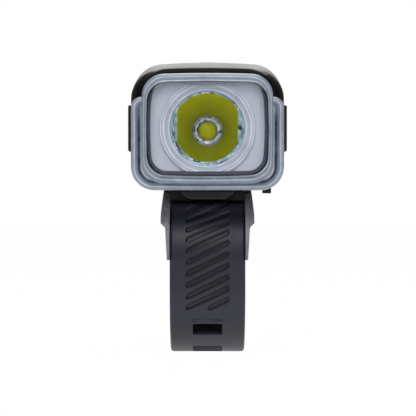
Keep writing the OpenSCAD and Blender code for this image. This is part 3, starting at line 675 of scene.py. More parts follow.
# %% Geometry tree tools
def new_tree(name, sizes, on_points=True):
    """A geometry tree with these sizes as inputs, and its inputs' sockets."""
    tree = bpy.data.node_groups.new(name, "GeometryNodeTree")
    if on_points:
        tree.interface.new_socket("Geometry", in_out="INPUT", socket_type="NodeSocketGeometry")
    for size in sizes:
        tree.interface.new_socket(size, in_out="INPUT", socket_type="NodeSocketFloat")
    tree.interface.new_socket("Geometry", in_out="OUTPUT", socket_type="NodeSocketGeometry")
    return tree, add(tree, "NodeGroupInput").outputs


def end_tree(tree, geometry, material):
    """Makes copies real, gives them a finish and sends them out."""
    whole = add(tree, "GeometryNodeRealizeInstances", {0: geometry})
    coat = add(tree, "GeometryNodeSetMaterial", {"Geometry": whole.outputs[0], "Material": material})
    add(tree, "NodeGroupOutput", {"Geometry": coat.outputs[0]})
    return tree


def on_each_point(tree, points, shape, material):
    """Ends a tree with a copy of a shape on each point."""
    copies = add(tree, "GeometryNodeInstanceOnPoints", {"Points": points, "Instance": shape})
    return end_tree(tree, copies.outputs[0], material)


def grown(name, tree, points=(), **sizes):
    """A plain mesh from a tree on points, with its inputs set by their identifiers."""
    mesh = bpy.data.meshes.new(name)
    mesh.from_pydata(list(points), [], [])
    piece = bpy.data.objects.new(name, mesh)
    scene.collection.objects.link(piece)
    nodes = piece.modifiers.new("nodes", "NODES")
    nodes.node_group = tree
    for item in tree.interface.items_tree:
        if item.in_out == "INPUT" and item.name.replace(" ", "_") in sizes:
            nodes[item.identifier] = sizes[item.name.replace(" ", "_")]
    settle(piece)
    finish = piece.data.materials[-1]
    piece.data.materials.clear()
    piece.data.materials.append(finish)
    piece.data.polygons.foreach_set("material_index", [0] * len(piece.data.polygons))
    return piece


print("geometry tools ready")

# %% [markdown]
# ## The two shells
# The housing is a soft brick: flat floor, a roof that falls to the front in a parabola, and a back that
# rounds off in plan and in side view at once. Cut blocks would leave creases at the rear corners, so the
# skin is lofted through rounded sections along Y, split at the parting line, and given its wall.

# %% Housing skin
top_low, top_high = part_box("housing_top")
base_low, base_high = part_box("housing_base")
dome_low, dome_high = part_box("led_dome")
axis_z = (dome_low.z + dome_high.z) / 2
floor_rise, wall, parting_gap = 1.8 * mm, 1.8 * mm, 0.1 * mm
front, rear, half = top_low.y, top_high.y, top_high.x
floor_height, crest, parting = base_low.z + floor_rise, top_high.z, base_high.z
roof_fall, roof_bend, roof_crown = 4.2 * mm, 1.3, 1.2 * mm
front_r, plan_r, rear_top_r, rear_low_r = 4 * mm, 12 * mm, 14 * mm, 4.2 * mm
shoulder_r, floor_r, widest_r = 7.8 * mm, 4 * mm, 0.55


def drop(radius, into):
    """How far a round of a radius has fallen, a distance into it."""
    into = clamp(into, 0, radius)
    return radius - math.sqrt(radius * radius - into * into)


def shell_section(y):
    """The housing's outline at a distance along Y."""
    wide = half - drop(front_r, front + front_r - y) - drop(plan_r, y - rear + plan_r)
    ahead = clamp(y / front)
    top = crest - roof_fall * ahead ** roof_bend - drop(rear_top_r, y - rear + rear_top_r)
    low = floor_height + drop(rear_low_r, y - rear + rear_low_r)
    tight = widest_r * wide
    flat = rounded_outline(wide, low, top, min(floor_r, tight), min(shoulder_r, tight))
    lifts = [max((z - parting) / (crest - parting), 0) for x, z in flat]
    return [(x, y, z - roof_crown * (x / half) ** 2 * lift) for (x, z), lift in zip(flat, lifts)]


def stations():
    """Places along Y, closer together where the skin turns."""
    turn, flat_steps, first_step = 14, 16, 0.6 * mm
    body_start, body_end = front + front_r, rear - rear_top_r
    head = [front + first_step + (front_r - first_step) * (1 - math.cos(math.radians(90 * i / turn)))
            for i in range(turn)]
    middle = [mix(body_start, body_end, i / flat_steps) for i in range(flat_steps)]
    tail = [body_end + rear_top_r * math.sin(math.radians(90 * i / (2 * turn))) for i in range(2 * turn + 1)]
    return head + middle + tail


def shell(name, keep_above):
    """One shell: the skin on one side of the parting line, with its wall."""
    skin = loft([shell_section(y) for y in stations()], first_cap=False)
    slice_off(skin, parting + (parting_gap if keep_above else -parting_gap), not keep_above)
    return thicken(make_piece(name, skin, abs_polished_black), wall)


upper = shell("upper_shell", True)
lower = shell("lower_shell", False)
print("upper shell faces:", len(upper.data.polygons), "lower:", len(lower.data.polygons))

# %% [markdown]
# ## Openings in the shells
# The button, the screws, the charging port and the side strips sit in openings. Each opening is a closed
# solid cut out of the shell, a little larger than the piece that fills it.

# %% Cutters
def disc_cutter(centre, radius, low, high, steps=64):
    """A cylinder along Z to cut with."""
    flat = [(centre[0] + radius * math.cos(a), centre[1] + radius * math.sin(a)) for a in around(steps)]
    return make_piece("cutter", loft([[(x, y, z) for x, y in flat] for z in (low, high)]))


def block_cutter(low, high, grow):
    """A block to cut with, grown on all sides."""
    low, high = Vector(low) - Vector(grow), Vector(high) + Vector(grow)
    corners = ((low.x, low.y), (high.x, low.y), (high.x, high.y), (low.x, high.y))
    return make_piece("cutter", loft([[(x, y, z) for x, y in corners] for z in (low.z, high.z)]))


def quarter_centres(node):
    """Middle points of a node's four solids, one in each quarter of its plan."""
    low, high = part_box(node)
    middle = (low + high) / 2
    points = [v.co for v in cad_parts[node].data.vertices]
    centres = []
    for side, end in ((-1, -1), (-1, 1), (1, -1), (1, 1)):
        own = [p for p in points if (p.x - middle.x) * side > 0 and (p.y - middle.y) * end > 0]
        across, along = [p.x for p in own], [p.y for p in own]
        centres.append(((min(across) + max(across)) / 2, (min(along) + max(along)) / 2))
    return centres


button_low, button_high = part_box("power_button")
button_at = ((button_low.x + button_high.x) / 2, (button_low.y + button_high.y) / 2)
button_r, button_gap = 6 * mm, 0.25 * mm
strips = (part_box("side_trim_left"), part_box("side_trim_right"))
strip_gap = (0.12 * mm, 0.12 * mm, 0.12 * mm)
carve(upper, disc_cutter(button_at, button_r + button_gap, parting + wall, crest + wall),
      *[block_cutter(*box, strip_gap) for box in strips])
screw_places = quarter_centres("housing_screws")
head_r, head_gap = 2.2 * mm, 0.15 * mm
port_low, port_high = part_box("usb_socket")
port_top = (port_high.x, port_high.y, floor_height + wall)
port_grow = (0.4 * mm, 0.4 * mm, 3 * mm)
screw_cutters = [disc_cutter(at, head_r + head_gap, floor_height - wall, floor_height + 2 * wall)
                 for at in screw_places]
carve(lower, *screw_cutters, *[block_cutter(*box, strip_gap) for box in strips],
      block_cutter(port_low, port_top, port_grow))
print("openings cut; screws at mm:", [(round(x / mm, 1), round(y / mm, 1)) for x, y in screw_places])

# %% [markdown]
# ## The front frame
# A narrow frame carries the lens and stands proud of the shell's rounded front, with a fine round at its
# edge. It is one tube: along its outside, round its edge and back through its opening.

# %% Front frame
frame_half, frame_top, frame_low = 19.3 * mm, crest - roof_fall + 0.8 * mm, axis_z - 14.3 * mm
frame_low_r, frame_top_r, frame_crown = 4 * mm, 8 * mm, 0.7 * mm
frame_back, edge_r, edge_turn = front + 3 * mm, 0.35 * mm, 0.3
opening_half, opening_up, opening_r = 14.6 * mm, 11.9 * mm, 5 * mm


def frame_outline(inset):
    """The frame's outline, drawn in by a distance."""
    return rounded_outline(frame_half - inset, frame_low + inset, frame_top - inset, frame_low_r - inset,
                           frame_top_r - inset, crown=frame_crown)


opening = rounded_outline(opening_half, axis_z - opening_up, axis_z + opening_up, opening_r, opening_r)
edge_steps = ((0, frame_back), (0, front + edge_r), (edge_turn * edge_r, front + edge_turn * edge_r),
              (edge_r, front))
rings = [level_ring(frame_outline(inset), y) for inset, y in edge_steps]
rings += [level_ring(opening, front), level_ring(opening, frame_back)]
join(upper, make_piece("front_frame", tube(rings), abs_polished_black))
seat(upper, "lamp", "housing_black", "housing_top")
seat(lower, "lamp", "housing_black", "housing_base")

# %% [markdown]
# ## Side strips
# Two etched strips sit in the shells' recesses. A rounded edge on a copy of each node is all that they
# need.

# %% Side strips
for side in ("left", "right"):
    softened("side_trim_" + side, side + "_strip", "lamp", "trim_black", abs_etched_black, 0.4 * mm)

# %% [markdown]
# ## The clear lens
# The lens is one moulding: a deep block with a polished window, and lower wings that wrap to the sides.
# The block is a loft from the pocket behind the window, round its rim, to the window's face. Fine steps
# in the rim, with a painted tone on each, make the light and dark lines that run round the window: painted
# highlights and painted shade. The two window faces have many corners, so they are easy to find: they are
# clear and flat.

# %% Lens block
block_half, block_low, block_high, block_r = 18.2 * mm, axis_z - 15.4 * mm, axis_z + 15.2 * mm, 5.5 * mm
pane_half, pane_up, pane_r, pane_drop = 16.8 * mm, 12.9 * mm, 4.8 * mm, 0.25 * mm
pane_low, pane_high = axis_z - pane_up - pane_drop, axis_z + pane_up
bow = {"crown": 0.45 * mm, "belly": 0.45 * mm}
lens_front, lens_back = lens_low.y, lens_high.y
pane_back = lens_front + 2 * mm
lens_sharp = 50
block_edge = rounded_outline(block_half, block_low, block_high, block_r, block_r, **bow)
pane_edge = rounded_outline(pane_half, pane_low, pane_high, pane_r, pane_r, **bow)
# Each step of the rim: share of the way to the window, millimetres behind the front, tone of painted light
# and shade
rim_steps = ((0, 6.4, 0.3), (0, 1.1, 0.45), (0.1, 0.6, 0.6), (0.3, 0.28, 0.5), (0.36, 0.14, 0.62),
             (0.42, 0.1, 1.0), (0.48, 0.14, 0.7), (0.54, 0.28, 0.42), (0.8, 0.3, 0.5), (0.86, 0.1, 0.8),
             (0.92, 0.04, 0.85), (0.97, 0.02, 0.4), (1.0, 0.0, 0.15))
# Painted shade: dark pocket walls, and a rim darker below the window by shaded_below
pocket_painted_shade, shaded_below = 0.2, 0.24
rings = [level_ring(pane_edge, pane_back), level_ring(pane_edge, lens_back)]
rim_painted_light = [pocket_painted_shade, pocket_painted_shade]
for share, back, tone in rim_steps:
    points = between(block_edge, pane_edge, share)
    rings.append(level_ring(points, lens_front + back * mm))
    rim_painted_light.append([tone - shaded_below * (z < pane_low) for x, z in points])
block = make_piece("lens_cover_clear", loft(rings, tones=rim_painted_light), polycarbonate_rim, polycarbonate_window,
                   sharp=lens_sharp)
for face in block.data.polygons:
    clear = len(face.vertices) > 4
    face.material_index = 1 if clear else 0
    face.use_smooth = not clear
print("window faces:", sum(face.material_index for face in block.data.polygons))

# %% [markdown]
# ### The lens's wings
# The wings are a second loft in the same piece: an open path from root to root, drawn in by steps. Their
# painted dark streaks, painted shade, fade out towards the shoulders.

# %% Lens wings
wing_half, wing_low, wing_high = lens_high.x, lens_low.z, axis_z + 8.9 * mm
wing_low_r, wing_high_r, wing_least_r = 6.5 * mm, 3 * mm, 0.4 * mm
wing_front, wing_root = lens_front + 2.9 * mm, block_half - 0.7 * mm
# The painted dark streaks fade out between these heights, to a painted tone at the shoulders
fade_low, fade_high, shoulder_painted_light = axis_z + 2 * mm, axis_z + 6.5 * mm, 0.55
# Each step across the wing: millimetres in from its edge, millimetres behind its front, tone of painted light
# and shade
wing_steps = ((0, 3.6, 0.3), (0, 0.8, 0.62), (0.12, 0.35, 0.75), (0.4, 0.08, 0.6), (0.75, 0.0, 0.66),
              (0.95, 0.0, 1.0), (1.15, 0.0, 0.7), (1.4, 0.05, 0.48), (1.8, 0.15, 0.36), (2.05, 0.45, 0.12),
              (2.3, 0.6, 0.05), (2.55, 0.45, 0.15), (2.75, 0.1, 0.7), (2.95, 0.0, 0.9), (3.7, 0.0, 0.5),
              (3.7, 3.6, 0.3))


def wing_path(inset):
    """The wings' outline as an open path from the left root round the bottom to the right root."""
    corner, side = 10, 8
    low_r, high_r = max(wing_low_r - inset, wing_least_r), max(wing_high_r - inset, wing_least_r)
    closed = rounded_outline(wing_half - inset, wing_low + inset, wing_high - inset, low_r, high_r,
                             steps=corner, side_steps=side)
    path = closed[corner + side:] + closed[:corner + 1]
    return [(-wing_root, wing_high - inset)] + path + [(wing_root, wing_high - inset)]


rings, wing_painted_light = [], []
for inset, back, tone in wing_steps:
    points = wing_path(inset * mm)
    fades = [clamp((z - fade_low) / (fade_high - fade_low)) for x, z in points]
    rings.append(level_ring(points, wing_front + back * mm))
    wing_painted_light.append([mix(tone, max(tone, shoulder_painted_light), fade) for fade in fades])
wings = make_piece("lens_wings", tube(rings, wing_painted_light, wrap=False), polycarbonate_rim, sharp=lens_sharp)
seat(join(block, wings), "lamp", "clear_lens", "lens_cover")

# %% [markdown]
# ## Behind the window
# A dark seal frames the window, and a pale plate fills it. Both follow the window's outline, drawn in.
# The plate's bore is a circle, cut flat above and below where the bezel ring ends.

# %% Seal and plate
seal_low, seal_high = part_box("lens_gasket")
plate_low, plate_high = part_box("face_plate")
ring_low, ring_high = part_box("bezel_ring")
ring_r, mouth_r = ring_high.x, 10.2 * mm
bore_r, bore_lap, plate_inset = 0.96 * ring_r, 0.3 * mm, 1.02 * mm
painted_light_run, painted_light_fade = 1.0 * mm, 1.5 * mm


def pane_inset(inset, top_share=0.22, low_share=1.3):
    """The window's outline, drawn in by a distance, less along its top and more along its bottom."""
    return rounded_outline(pane_half - inset, pane_low + inset * low_share, pane_high - inset * top_share,
                           pane_r - inset, pane_r - inset, crown=0.35 * mm, belly=0.75 * mm)


# Each step of the seal: millimetres in from the window's edge, share of its depth
seal_steps = ((0.12, 1.0), (0.12, 0.06), (0.3, 0.0), (0.62, 0.0), (0.74, 0.05), (0.9, 0.05), (1.0, 0.12),
              (1.0, 1.0))
rings = [level_ring(pane_inset(inset * mm), mix(seal_low.y, seal_high.y, back)) for inset, back in seal_steps]
window_seal = make_piece("window_seal", tube(rings), seal_silicone_moulded)
# Painted light: the seal turns pale towards its top run, standing in for light from the lens
painted_light_start = max(v.co.z for v in window_seal.data.vertices) - painted_light_run - painted_light_fade
set_shade(window_seal, lambda spot: clamp((spot.z - painted_light_start) / painted_light_fade))
seat(window_seal, "lamp", "gasket_rubber", "lens_gasket")

plate_edge = pane_inset(plate_inset)
plate_bore = []
for a in (math.atan2(z - axis_z, x) for x, z in plate_edge):
    level = clamp(axis_z + bore_r * math.sin(a), ring_low.z + bore_lap, ring_high.z - bore_lap)
    plate_bore.append((bore_r * math.cos(a), level))
plate_rows = ((plate_edge, plate_high.y), (plate_edge, plate_low.y), (plate_bore, plate_low.y),
              (plate_bore, plate_high.y))
plate_skin = tube([level_ring(points, y) for points, y in plate_rows])
seat(make_piece("pale_plate", plate_skin, plate_polycarbonate_satin), "lamp", "pale_plate", "face_plate")

# %% [markdown]
# ### The bezel ring
# A silver ring holds the bowl's mouth. It is turned: a profile of ridges is swept round the beam's axis,
# then trimmed flat above and below where the plate ends.

# %% Bezel ring
# Each step of the ring: share of the way from its edge to the bowl's mouth, share of its depth, tone of
# painted light and shade
ring_profile = ((0, 1.0, 0.4), (0, 0.35, 0.5), (0.02, 0.12, 0.7), (0.06, 0.06, 1.0), (0.1, 0.1, 0.6),
                (0.3, 0.14, 0.52), (0.34, 0.1, 0.8), (0.38, 0.06, 1.0), (0.42, 0.1, 0.6), (0.5, 0.3, 0.45),
                (0.76, 0.36, 0.5), (0.8, 0.3, 0.75), (0.84, 0.26, 1.0), (0.88, 0.34, 0.6), (0.95, 0.5, 0.3),
                (1.0, 0.6, 0.12), (1.0, 1.0, 0.3))


def turned(profile, steps=96, tones=None):
    """A solid of revolution about the beam's axis, from (radius, y) points."""
    rings = [[(r * math.cos(a), y, axis_z + r * math.sin(a)) for a in around(steps)] for r, y in profile]
    return tube(rings, tones)


profile = [(mix(ring_r, mouth_r, share), mix(ring_low.y, ring_high.y, back))
           for share, back, tone in ring_profile]
ring_skin = turned(profile, tones=[tone for share, back, tone in ring_profile])
for level, above in ((ring_high.z, True), (ring_low.z, False)):
    slice_off(ring_skin, level, above)
    fill_holes(ring_skin)
bezel = make_piece("bezel_ring_turned", ring_skin, ring_silver_lacquer, sharp=lens_sharp)
seat(bezel, "lamp", "ring_silver", "bezel_ring")

# %% [markdown]
# ## The mirror bowl
# A reflector follows a rule: each point's depth is its radius squared over four focal lengths, which
# sends light from the emitter out in a beam. Geometry Nodes bend a flat grid into that bowl: one way of
# the grid becomes the angle and the other the radius, and the rim stays flat past the mouth. The bowl's
# sides and its lower edge get the finish of small facets, whose pale and dark patches are painted
# reflections.

# %% Reflector by rule
def bowl_tree(material, turn_points=129, radius_points=41):
    """Geometry Nodes that bend a grid into a parabolic bowl about the beam's axis."""
    tree, size = new_tree("parabolic_bowl", ("Focal", "Throat", "Mouth", "Rim", "Vertex Y", "Axis Z"), False)
    grid = add(tree, "GeometryNodeMeshGrid", {"Size X": 1.0, "Size Y": 1.0, "Vertices X": turn_points,
                                              "Vertices Y": radius_points})
    place = add(tree, "ShaderNodeSeparateXYZ", {0: add(tree, "GeometryNodeInputPosition").outputs[0]}).outputs
    turn = calc(tree, "MULTIPLY", place["X"], math.tau)
    radius = remap(tree, place["Y"], (-0.5, 0.5), (size["Throat"], size["Rim"]))
    bent = calc(tree, "MINIMUM", radius, size["Mouth"])
    sag = calc(tree, "DIVIDE", calc(tree, "MULTIPLY", bent, bent), calc(tree, "MULTIPLY", size["Focal"], 4.0))
    x = calc(tree, "MULTIPLY", radius, calc(tree, "COSINE", turn))
    y = calc(tree, "SUBTRACT", size["Vertex Y"], sag)
    z = calc(tree, "MULTIPLY_ADD", radius, calc(tree, "SINE", turn), size["Axis Z"])
    spot = add(tree, "ShaderNodeCombineXYZ", {0: x, 1: y, 2: z}).outputs[0]
    bowl = add(tree, "GeometryNodeSetPosition", {"Geometry": grid.outputs["Mesh"], "Position": spot})
    seam = add(tree, "GeometryNodeMergeByDistance", {"Geometry": bowl.outputs[0], "Distance": 0.001 * mm})
    smooth = add(tree, "GeometryNodeSetShadeSmooth", {"Geometry": seam.outputs[0]})
    return end_tree(tree, smooth.outputs[0], material)


focal, throat, mouth, rim, bowl_wall = 2 * mm, 4.1 * mm, 10.1 * mm, 11.8 * mm, 0.9 * mm
vertex_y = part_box("reflector")[0].y + mouth * mouth / (4 * focal)
bowl = grown("mirror_bowl", bowl_tree(mirror_vacuum_coated), Focal=focal, Throat=throat, Mouth=mouth, Rim=rim,
             Vertex_Y=vertex_y, Axis_Z=axis_z)
skin = bmesh.new()
skin.from_mesh(bowl.data)
bmesh.ops.recalc_face_normals(skin, faces=skin.faces)
if sum(f.normal.y * f.calc_area() for f in skin.faces) > 0:
    bmesh.ops.reverse_faces(skin, faces=skin.faces)
skin.to_mesh(bowl.data)
skin.free()
thicken(bowl, bowl_wall)
bowl.data.materials.append(facet_vacuum_coated)
facet_x, facet_r, facet_rim, facet_drop = 8.5 * mm, 9.1 * mm, 9.9 * mm, 3.5 * mm
for face in bowl.data.polygons:
    x, z = face.center.x, face.center.z - axis_z
    if abs(x) > facet_x or math.hypot(x, z) > (facet_r if z < -facet_drop else facet_rim):
        face.material_index = 1
print("facet faces:", sum(face.material_index for face in bowl.data.polygons))
seat(bowl, "lamp", "mirror_coat", "reflector")

# %% [markdown]
# ## Collar and emitter
# A plated collar with small facets surrounds the emitter, and the emitter is a dome of silicone over
# phosphor.

# %% Collar and emitter dome
collar_low, collar_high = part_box("led_collar")
collar_r, dome_r = collar_high.x, dome_high.x
facets, flute = 20, 0.12 * mm
# Each step of the collar: share of its radius, share of its depth
collar_steps = ((1.0, 1.0), (1.0, 0.3), (0.93, 0.06), (0.85, 0.0), (0.77, 0.12), (0.7, 0.5), (0.68, 1.0))
rings = []
for share, back in collar_steps:
    y = mix(collar_low.y, collar_high.y, back)
    cut = flute if 0 < back < 0.5 else 0
    ring = []
    for a in around(4 * facets):
        r = collar_r * share - cut * (1 + math.cos(facets * a))
        ring.append((r * math.cos(a), y + cut * (1 + math.sin(facets * a)) / 2, axis_z + r * math.sin(a)))
    rings.append(ring)
seat(make_piece("emitter_collar", tube(rings), collar_chrome_plated), "lamp", "collar_chrome", "led_collar")

dome_skirt, pole_r, dome_step, dome_turns = 0.5 * mm, 0.02 * mm, 6, 48
skirt_y = dome_high.y - dome_skirt
bulge = [(dome_r * math.cos(a), mix(skirt_y, dome_low.y, math.sin(a)))
         for a in map(math.radians, range(0, 90, dome_step))]
dome_profile = [(pole_r, dome_high.y), (dome_r, dome_high.y)] + bulge + [(pole_r, dome_low.y)]
dome_skin = turned(dome_profile, dome_turns)
seat(make_piece("emitter_dome", dome_skin, phosphor_silicone_dome), "lamp", "phosphor_yellow", "led_dome")

# %% [markdown]
# ## Bracket, latch and foot
# These come straight from the engineering shapes: copies with rounded edges. The cheeks lean on the
# strap, so the copy's inner cheek faces move up to its sides. The saddle is polished, and the cheeks are
# spark eroded, so faces beyond the strap's width get the speckled finish. Part of the cheeks' lighter
# grey is painted light, and part of the saddle's darkness is painted shade under the lamp.

# %% Bracket parts
cheek_x, cheek_top, cheek_gap = 10.63 * mm, 20 * mm, 0.35 * mm
strap_half, strap_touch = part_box("strap_front")[1].x, 0.05 * mm
saddle_sharp = 20
saddle_skin = merged_copy("bracket_base")
for vert in saddle_skin.verts:
    if strap_half < abs(vert.co.x) < strap_half + cheek_gap:
        vert.co.x = math.copysign(strap_half + strap_touch, vert.co.x)
saddle = make_piece("saddle_bracket", saddle_skin, nylon_polished_black, nylon_spark_eroded)
round_edges(saddle, 0.3 * mm, clamp_overlap=True, harden=False)
saddle.data.set_sharp_from_angle(angle=math.radians(saddle_sharp))
# The cheeks get the lighter nylon, partly as painted light, and the rest the darker, partly as painted shade
for face in saddle.data.polygons:
    face.material_index = 1 if abs(face.center.x) > cheek_x and face.center.z < cheek_top else 0
seat(saddle, "bracket", "bracket_black", "bracket_base")
softened("release_tab", "release_lever", "latch", "bracket_black", nylon_polished_black, 0.35 * mm)
softened("lamp_foot", "sliding_foot", "lamp", "bracket_black", nylon_polished_black, 0.2 * mm)
softened("saddle_pad", "bar_pad", "bracket", "pad_rubber", pad_rubber_moulded, 0.25 * mm)
softened("tab_pin", "lever_pin", "bracket", "screw_steel", steel_zinc_plated, 0.12 * mm, 2)
softened("strap_pin", "strap_hinge_pin", "bracket", "screw_steel", steel_zinc_plated, 0.12 * mm, 2)

# %% [markdown]
# ## The strap
# The strap is one length of rubber, and the engineering model splits it where it bends. Here it is one
# skin again. Its run starts over the pin, goes down the front, round below the bar and up the rear, and
# ends in a pull tab that leans back. A place on it is found by its distance along the run.

# %% Strap run
strap_out, strap_t = -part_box("strap_front")[0].y, 2.6 * mm
strap_drop, tail_top, pull_turn, pull_run, pull_bend = 6 * mm, 10.5 * mm, math.radians(42), 7 * mm, 2.5 * mm
strap_start = math.radians(31)
eye_at, eye_bulge, eye_reach = math.radians(38), 0.95 * mm, 2 * mm
run_front = strap_out * (math.pi / 2 - strap_start)
run_low = run_front + strap_drop
run_rear = run_low + math.pi * strap_out
run_top = run_rear + strap_drop + tail_top
run_pull = run_top + pull_bend * pull_turn
strap_length = run_pull + pull_run


def strap_point(run):
    """A place on the strap's outer face, the way out of it and the way along it, as (y, z) vectors."""
    if run < run_front:
        a = strap_start + run / strap_out
        bulge = eye_bulge * math.exp(-((a - eye_at) * strap_out / eye_reach) ** 2)
        out = Vector((-math.sin(a), math.cos(a)))
        return out * (strap_out + bulge), out, Vector((-math.cos(a), -math.sin(a)))
    if run < run_low:
        return Vector((-strap_out, run_front - run)), Vector((-1, 0)), Vector((0, -1))
    if run < run_rear:
        a = (run - run_low) / strap_out
        out = Vector((-math.cos(a), -math.sin(a)))
        return out * strap_out + Vector((0, -strap_drop)), out, Vector((math.sin(a), -math.cos(a)))
    if run < run_top:
        return Vector((strap_out, run - run_rear - strap_drop)), Vector((1, 0)), Vector((0, 1))
    a = min((run - run_top) / pull_bend, pull_turn)
    along = Vector((math.sin(a), math.cos(a)))
    turn = Vector((strap_out + pull_bend * (1 - math.cos(a)), tail_top + pull_bend * math.sin(a)))
    return turn + along * max(run - run_pull, 0), Vector((math.cos(a), -math.sin(a))), along


print("strap length, mm:", round(strap_length / mm, 1))

# %% [markdown]
# ### Grooves and skin
# A section with round edges is lofted along the run, and diagonal grooves press into its front by a rule
# for the depth at each point. A fine grid there keeps the grooves' edges crisp, and the rest has few
# faces.

# %% Strap skin
groove_n, groove_pitch, groove_w, groove_depth = 11, 3.2 * mm, 1.45 * mm, 0.75 * mm
groove_reach, groove_tilt, groove_soft = 6.1 * mm, math.radians(26), 0.16 * mm
groove_start, groove_tail = math.radians(36), 3 * mm
groove_first = strap_out * (groove_start - strap_start)
first_right, last_left = 1.6 * mm, 0.2 * mm
eye_run, eye_flat, eye_fade = strap_out * (eye_at - strap_start), 0.7, 2.4 * mm


def groove_cut(x, run):
    """Depth of the diagonal grooves on the outer face. The first stops short, and the last starts halfway."""
    slanted = run + x * math.tan(groove_tilt) - groove_first
    index = round(slanted / groove_pitch)
    if not 0 <= index < groove_n:
        return 0.0
    left = last_left if index == groove_n - 1 else -groove_reach
    right = first_right if index == 0 else groove_reach
    across = (slanted - index * groove_pitch) * math.cos(groove_tilt)
    past = max(left + groove_w / 2 - x, x - right + groove_w / 2, 0) / math.cos(groove_tilt)
    edge = math.hypot(across, past) - groove_w / 2
    share = clamp((groove_soft - edge) / (2 * groove_soft))
    over_eye = math.exp(-((run - eye_run) / eye_fade) ** 2)
    return groove_depth * (1 - eye_flat * over_eye) * share * share * (3 - 2 * share)


edge_round, edge_turns, end_round, end_least = 0.8 * mm, 4, 4 * mm, 0.0004
fine, fine_half, margin_n, rear_n, pull_n = 0.16 * mm, 6.6 * mm, 3, 90, 24
groove_end = groove_first + groove_n * groove_pitch + groove_tail
margin_w = strap_half - edge_round - fine_half
margin = [-strap_half + edge_round + i * margin_w / margin_n for i in range(margin_n)]
columns = margin + [-fine_half + i * fine for i in range(int(2 * fine_half / fine) + 1)]
columns += [-x for x in reversed(margin)]
runs = [i * fine for i in range(int(groove_end / fine))]
runs += [mix(groove_end, run_top, i / rear_n) for i in range(rear_n)]
runs += [mix(run_top, strap_length, i / pull_n) for i in range(pull_n + 1)]


def strap_ring(run):
    """The strap's section at a place along it: grooved face, round edges, and a round end."""
    place, out, along = strap_point(run)
    near_end = max(run - strap_length + strap_t / 2, 0) / (strap_t / 2)
    full = math.sqrt(max(1 - near_end * near_end, end_least))
    wide = strap_half - drop(end_round, run - strap_length + end_round)
    reach = wide - edge_round * wide / strap_half
    turns = [math.radians(90 * i / edge_turns) for i in range(edge_turns + 1)]
    face = [(x * wide / strap_half, groove_cut(x, run) if run < groove_end else 0.0) for x in columns]
    right = [(reach + edge_round * math.sin(a), edge_round * (1 - math.cos(a))) for a in turns[1:]]
    right += [(reach + edge_round * math.cos(a), strap_t - edge_round * (1 - math.sin(a))) for a in turns]
    left = [(-x, depth) for x, depth in reversed(right)]
    ring = []
    for x, depth in face + right + left:
        spot = place - out * mix(strap_t / 2, depth, full)
        ring.append((x, spot.x, spot.y))
    return ring


strap = make_piece("ladder_strap", loft([strap_ring(run) for run in runs]), strap_rubber_moulded, sharp=60)
print("strap faces:", len(strap.data.polygons))

# %% [markdown]
# ### Ladder holes and rungs
# Rounded holes are cut through the strap at an even spacing. A round rung above each hole stiffens it.
# The rungs repeat, so Geometry Nodes sweep one bar and put it on a point above each hole.

# %% Ladder
hole_half, hole_l, hole_r, hole_pitch, hole_n, stud_z = 4.2 * mm, 4.3 * mm, 0.5 * mm, 11.7 * mm, 6, 6.5 * mm
hole_runs = [run_rear + strap_drop + stud_z - i * hole_pitch * strap_out / (strap_out - strap_t / 2 * (i > 0))
             for i in range(hole_n)]
rung_r, rung_sink, rung_edge, ladder_sharp = 0.75 * mm, 0.25 * mm, 0.2 * mm, 50


def hole_cutter(run):
    """A rounded block through the strap."""
    place, out, along = strap_point(run)
    outline = rounded_outline(hole_half, -hole_l / 2, hole_l / 2, hole_r, hole_r, steps=4, side_steps=2)
    rows = []
    for height in (-2 * strap_t, strap_t):
        spots = [(x, place + along * a + out * height) for x, a in outline]
        rows.append([(x, spot.x, spot.y) for x, spot in spots])
    return make_piece("cutter", loft(rows))


def bar_tree(material):
    """Geometry Nodes that put a round bar along X on every point of the incoming mesh."""
    tree, size = new_tree("ladder_rungs", ("Half Length", "Radius"))
    left = calc(tree, "MULTIPLY", size["Half Length"], -1.0)
    line = add(tree, "GeometryNodeCurvePrimitiveLine", {
        "Start": add(tree, "ShaderNodeCombineXYZ", {0: left}).outputs[0],
        "End": add(tree, "ShaderNodeCombineXYZ", {0: size["Half Length"]}).outputs[0]})
    circle = add(tree, "GeometryNodeCurvePrimitiveCircle", {"Resolution": 20, "Radius": size["Radius"]})
    bar = add(tree, "GeometryNodeCurveToMesh", {"Curve": line.outputs[0], "Profile Curve": circle.outputs[0],
                                                "Fill Caps": True})
    return on_each_point(tree, size["Geometry"], bar.outputs[0], material)


carve(strap, *[hole_cutter(run) for run in hole_runs])
rung_spots = []
for run in hole_runs:
    place, out, along = strap_point(run - hole_l / 2 - rung_r)
    spot = place - out * rung_sink
    rung_spots.append((0, spot.x, spot.y))
rungs = grown("rungs", bar_tree(strap_rubber_moulded), rung_spots, Half_Length=hole_half, Radius=rung_r)
join(strap, round_edges(rungs, rung_edge, 2))
strap.data.shade_smooth()
strap.data.set_sharp_from_angle(angle=math.radians(ladder_sharp))
print("holes:", hole_n, "rungs:", len(rung_spots))

# %% [markdown]
# ### Painted shade
# Each point of the strap carries a painted shade: dark in the grooves and on the inner face.

# %% Strap painted shade
groove_shade = 0.75


def strap_place(y, z):
    """How far along the strap a point of its front half lies, and how deep under the outer face."""
    if z > 0:
        return strap_out * (math.atan2(-y, z) - strap_start), strap_out - math.hypot(y, z)
    if z > -strap_drop:
        return run_front - z, strap_out + y if y < 0 else strap_out - y
    return run_low + strap_out * math.atan2(-z - strap_drop, -y), strap_out - math.hypot(y, z + strap_drop)


def strap_shade(spot):
    """The painted shade at a point: how deep in a groove, or how far through the strap."""
    run, deep = strap_place(spot.y, spot.z)
    grooved = groove_cut(spot.x, run) / groove_depth if spot.y < 0 and run < groove_end else 0.0
    inner = clamp((deep - groove_depth) / (strap_t - groove_depth))
    return max(groove_shade * grooved, inner)


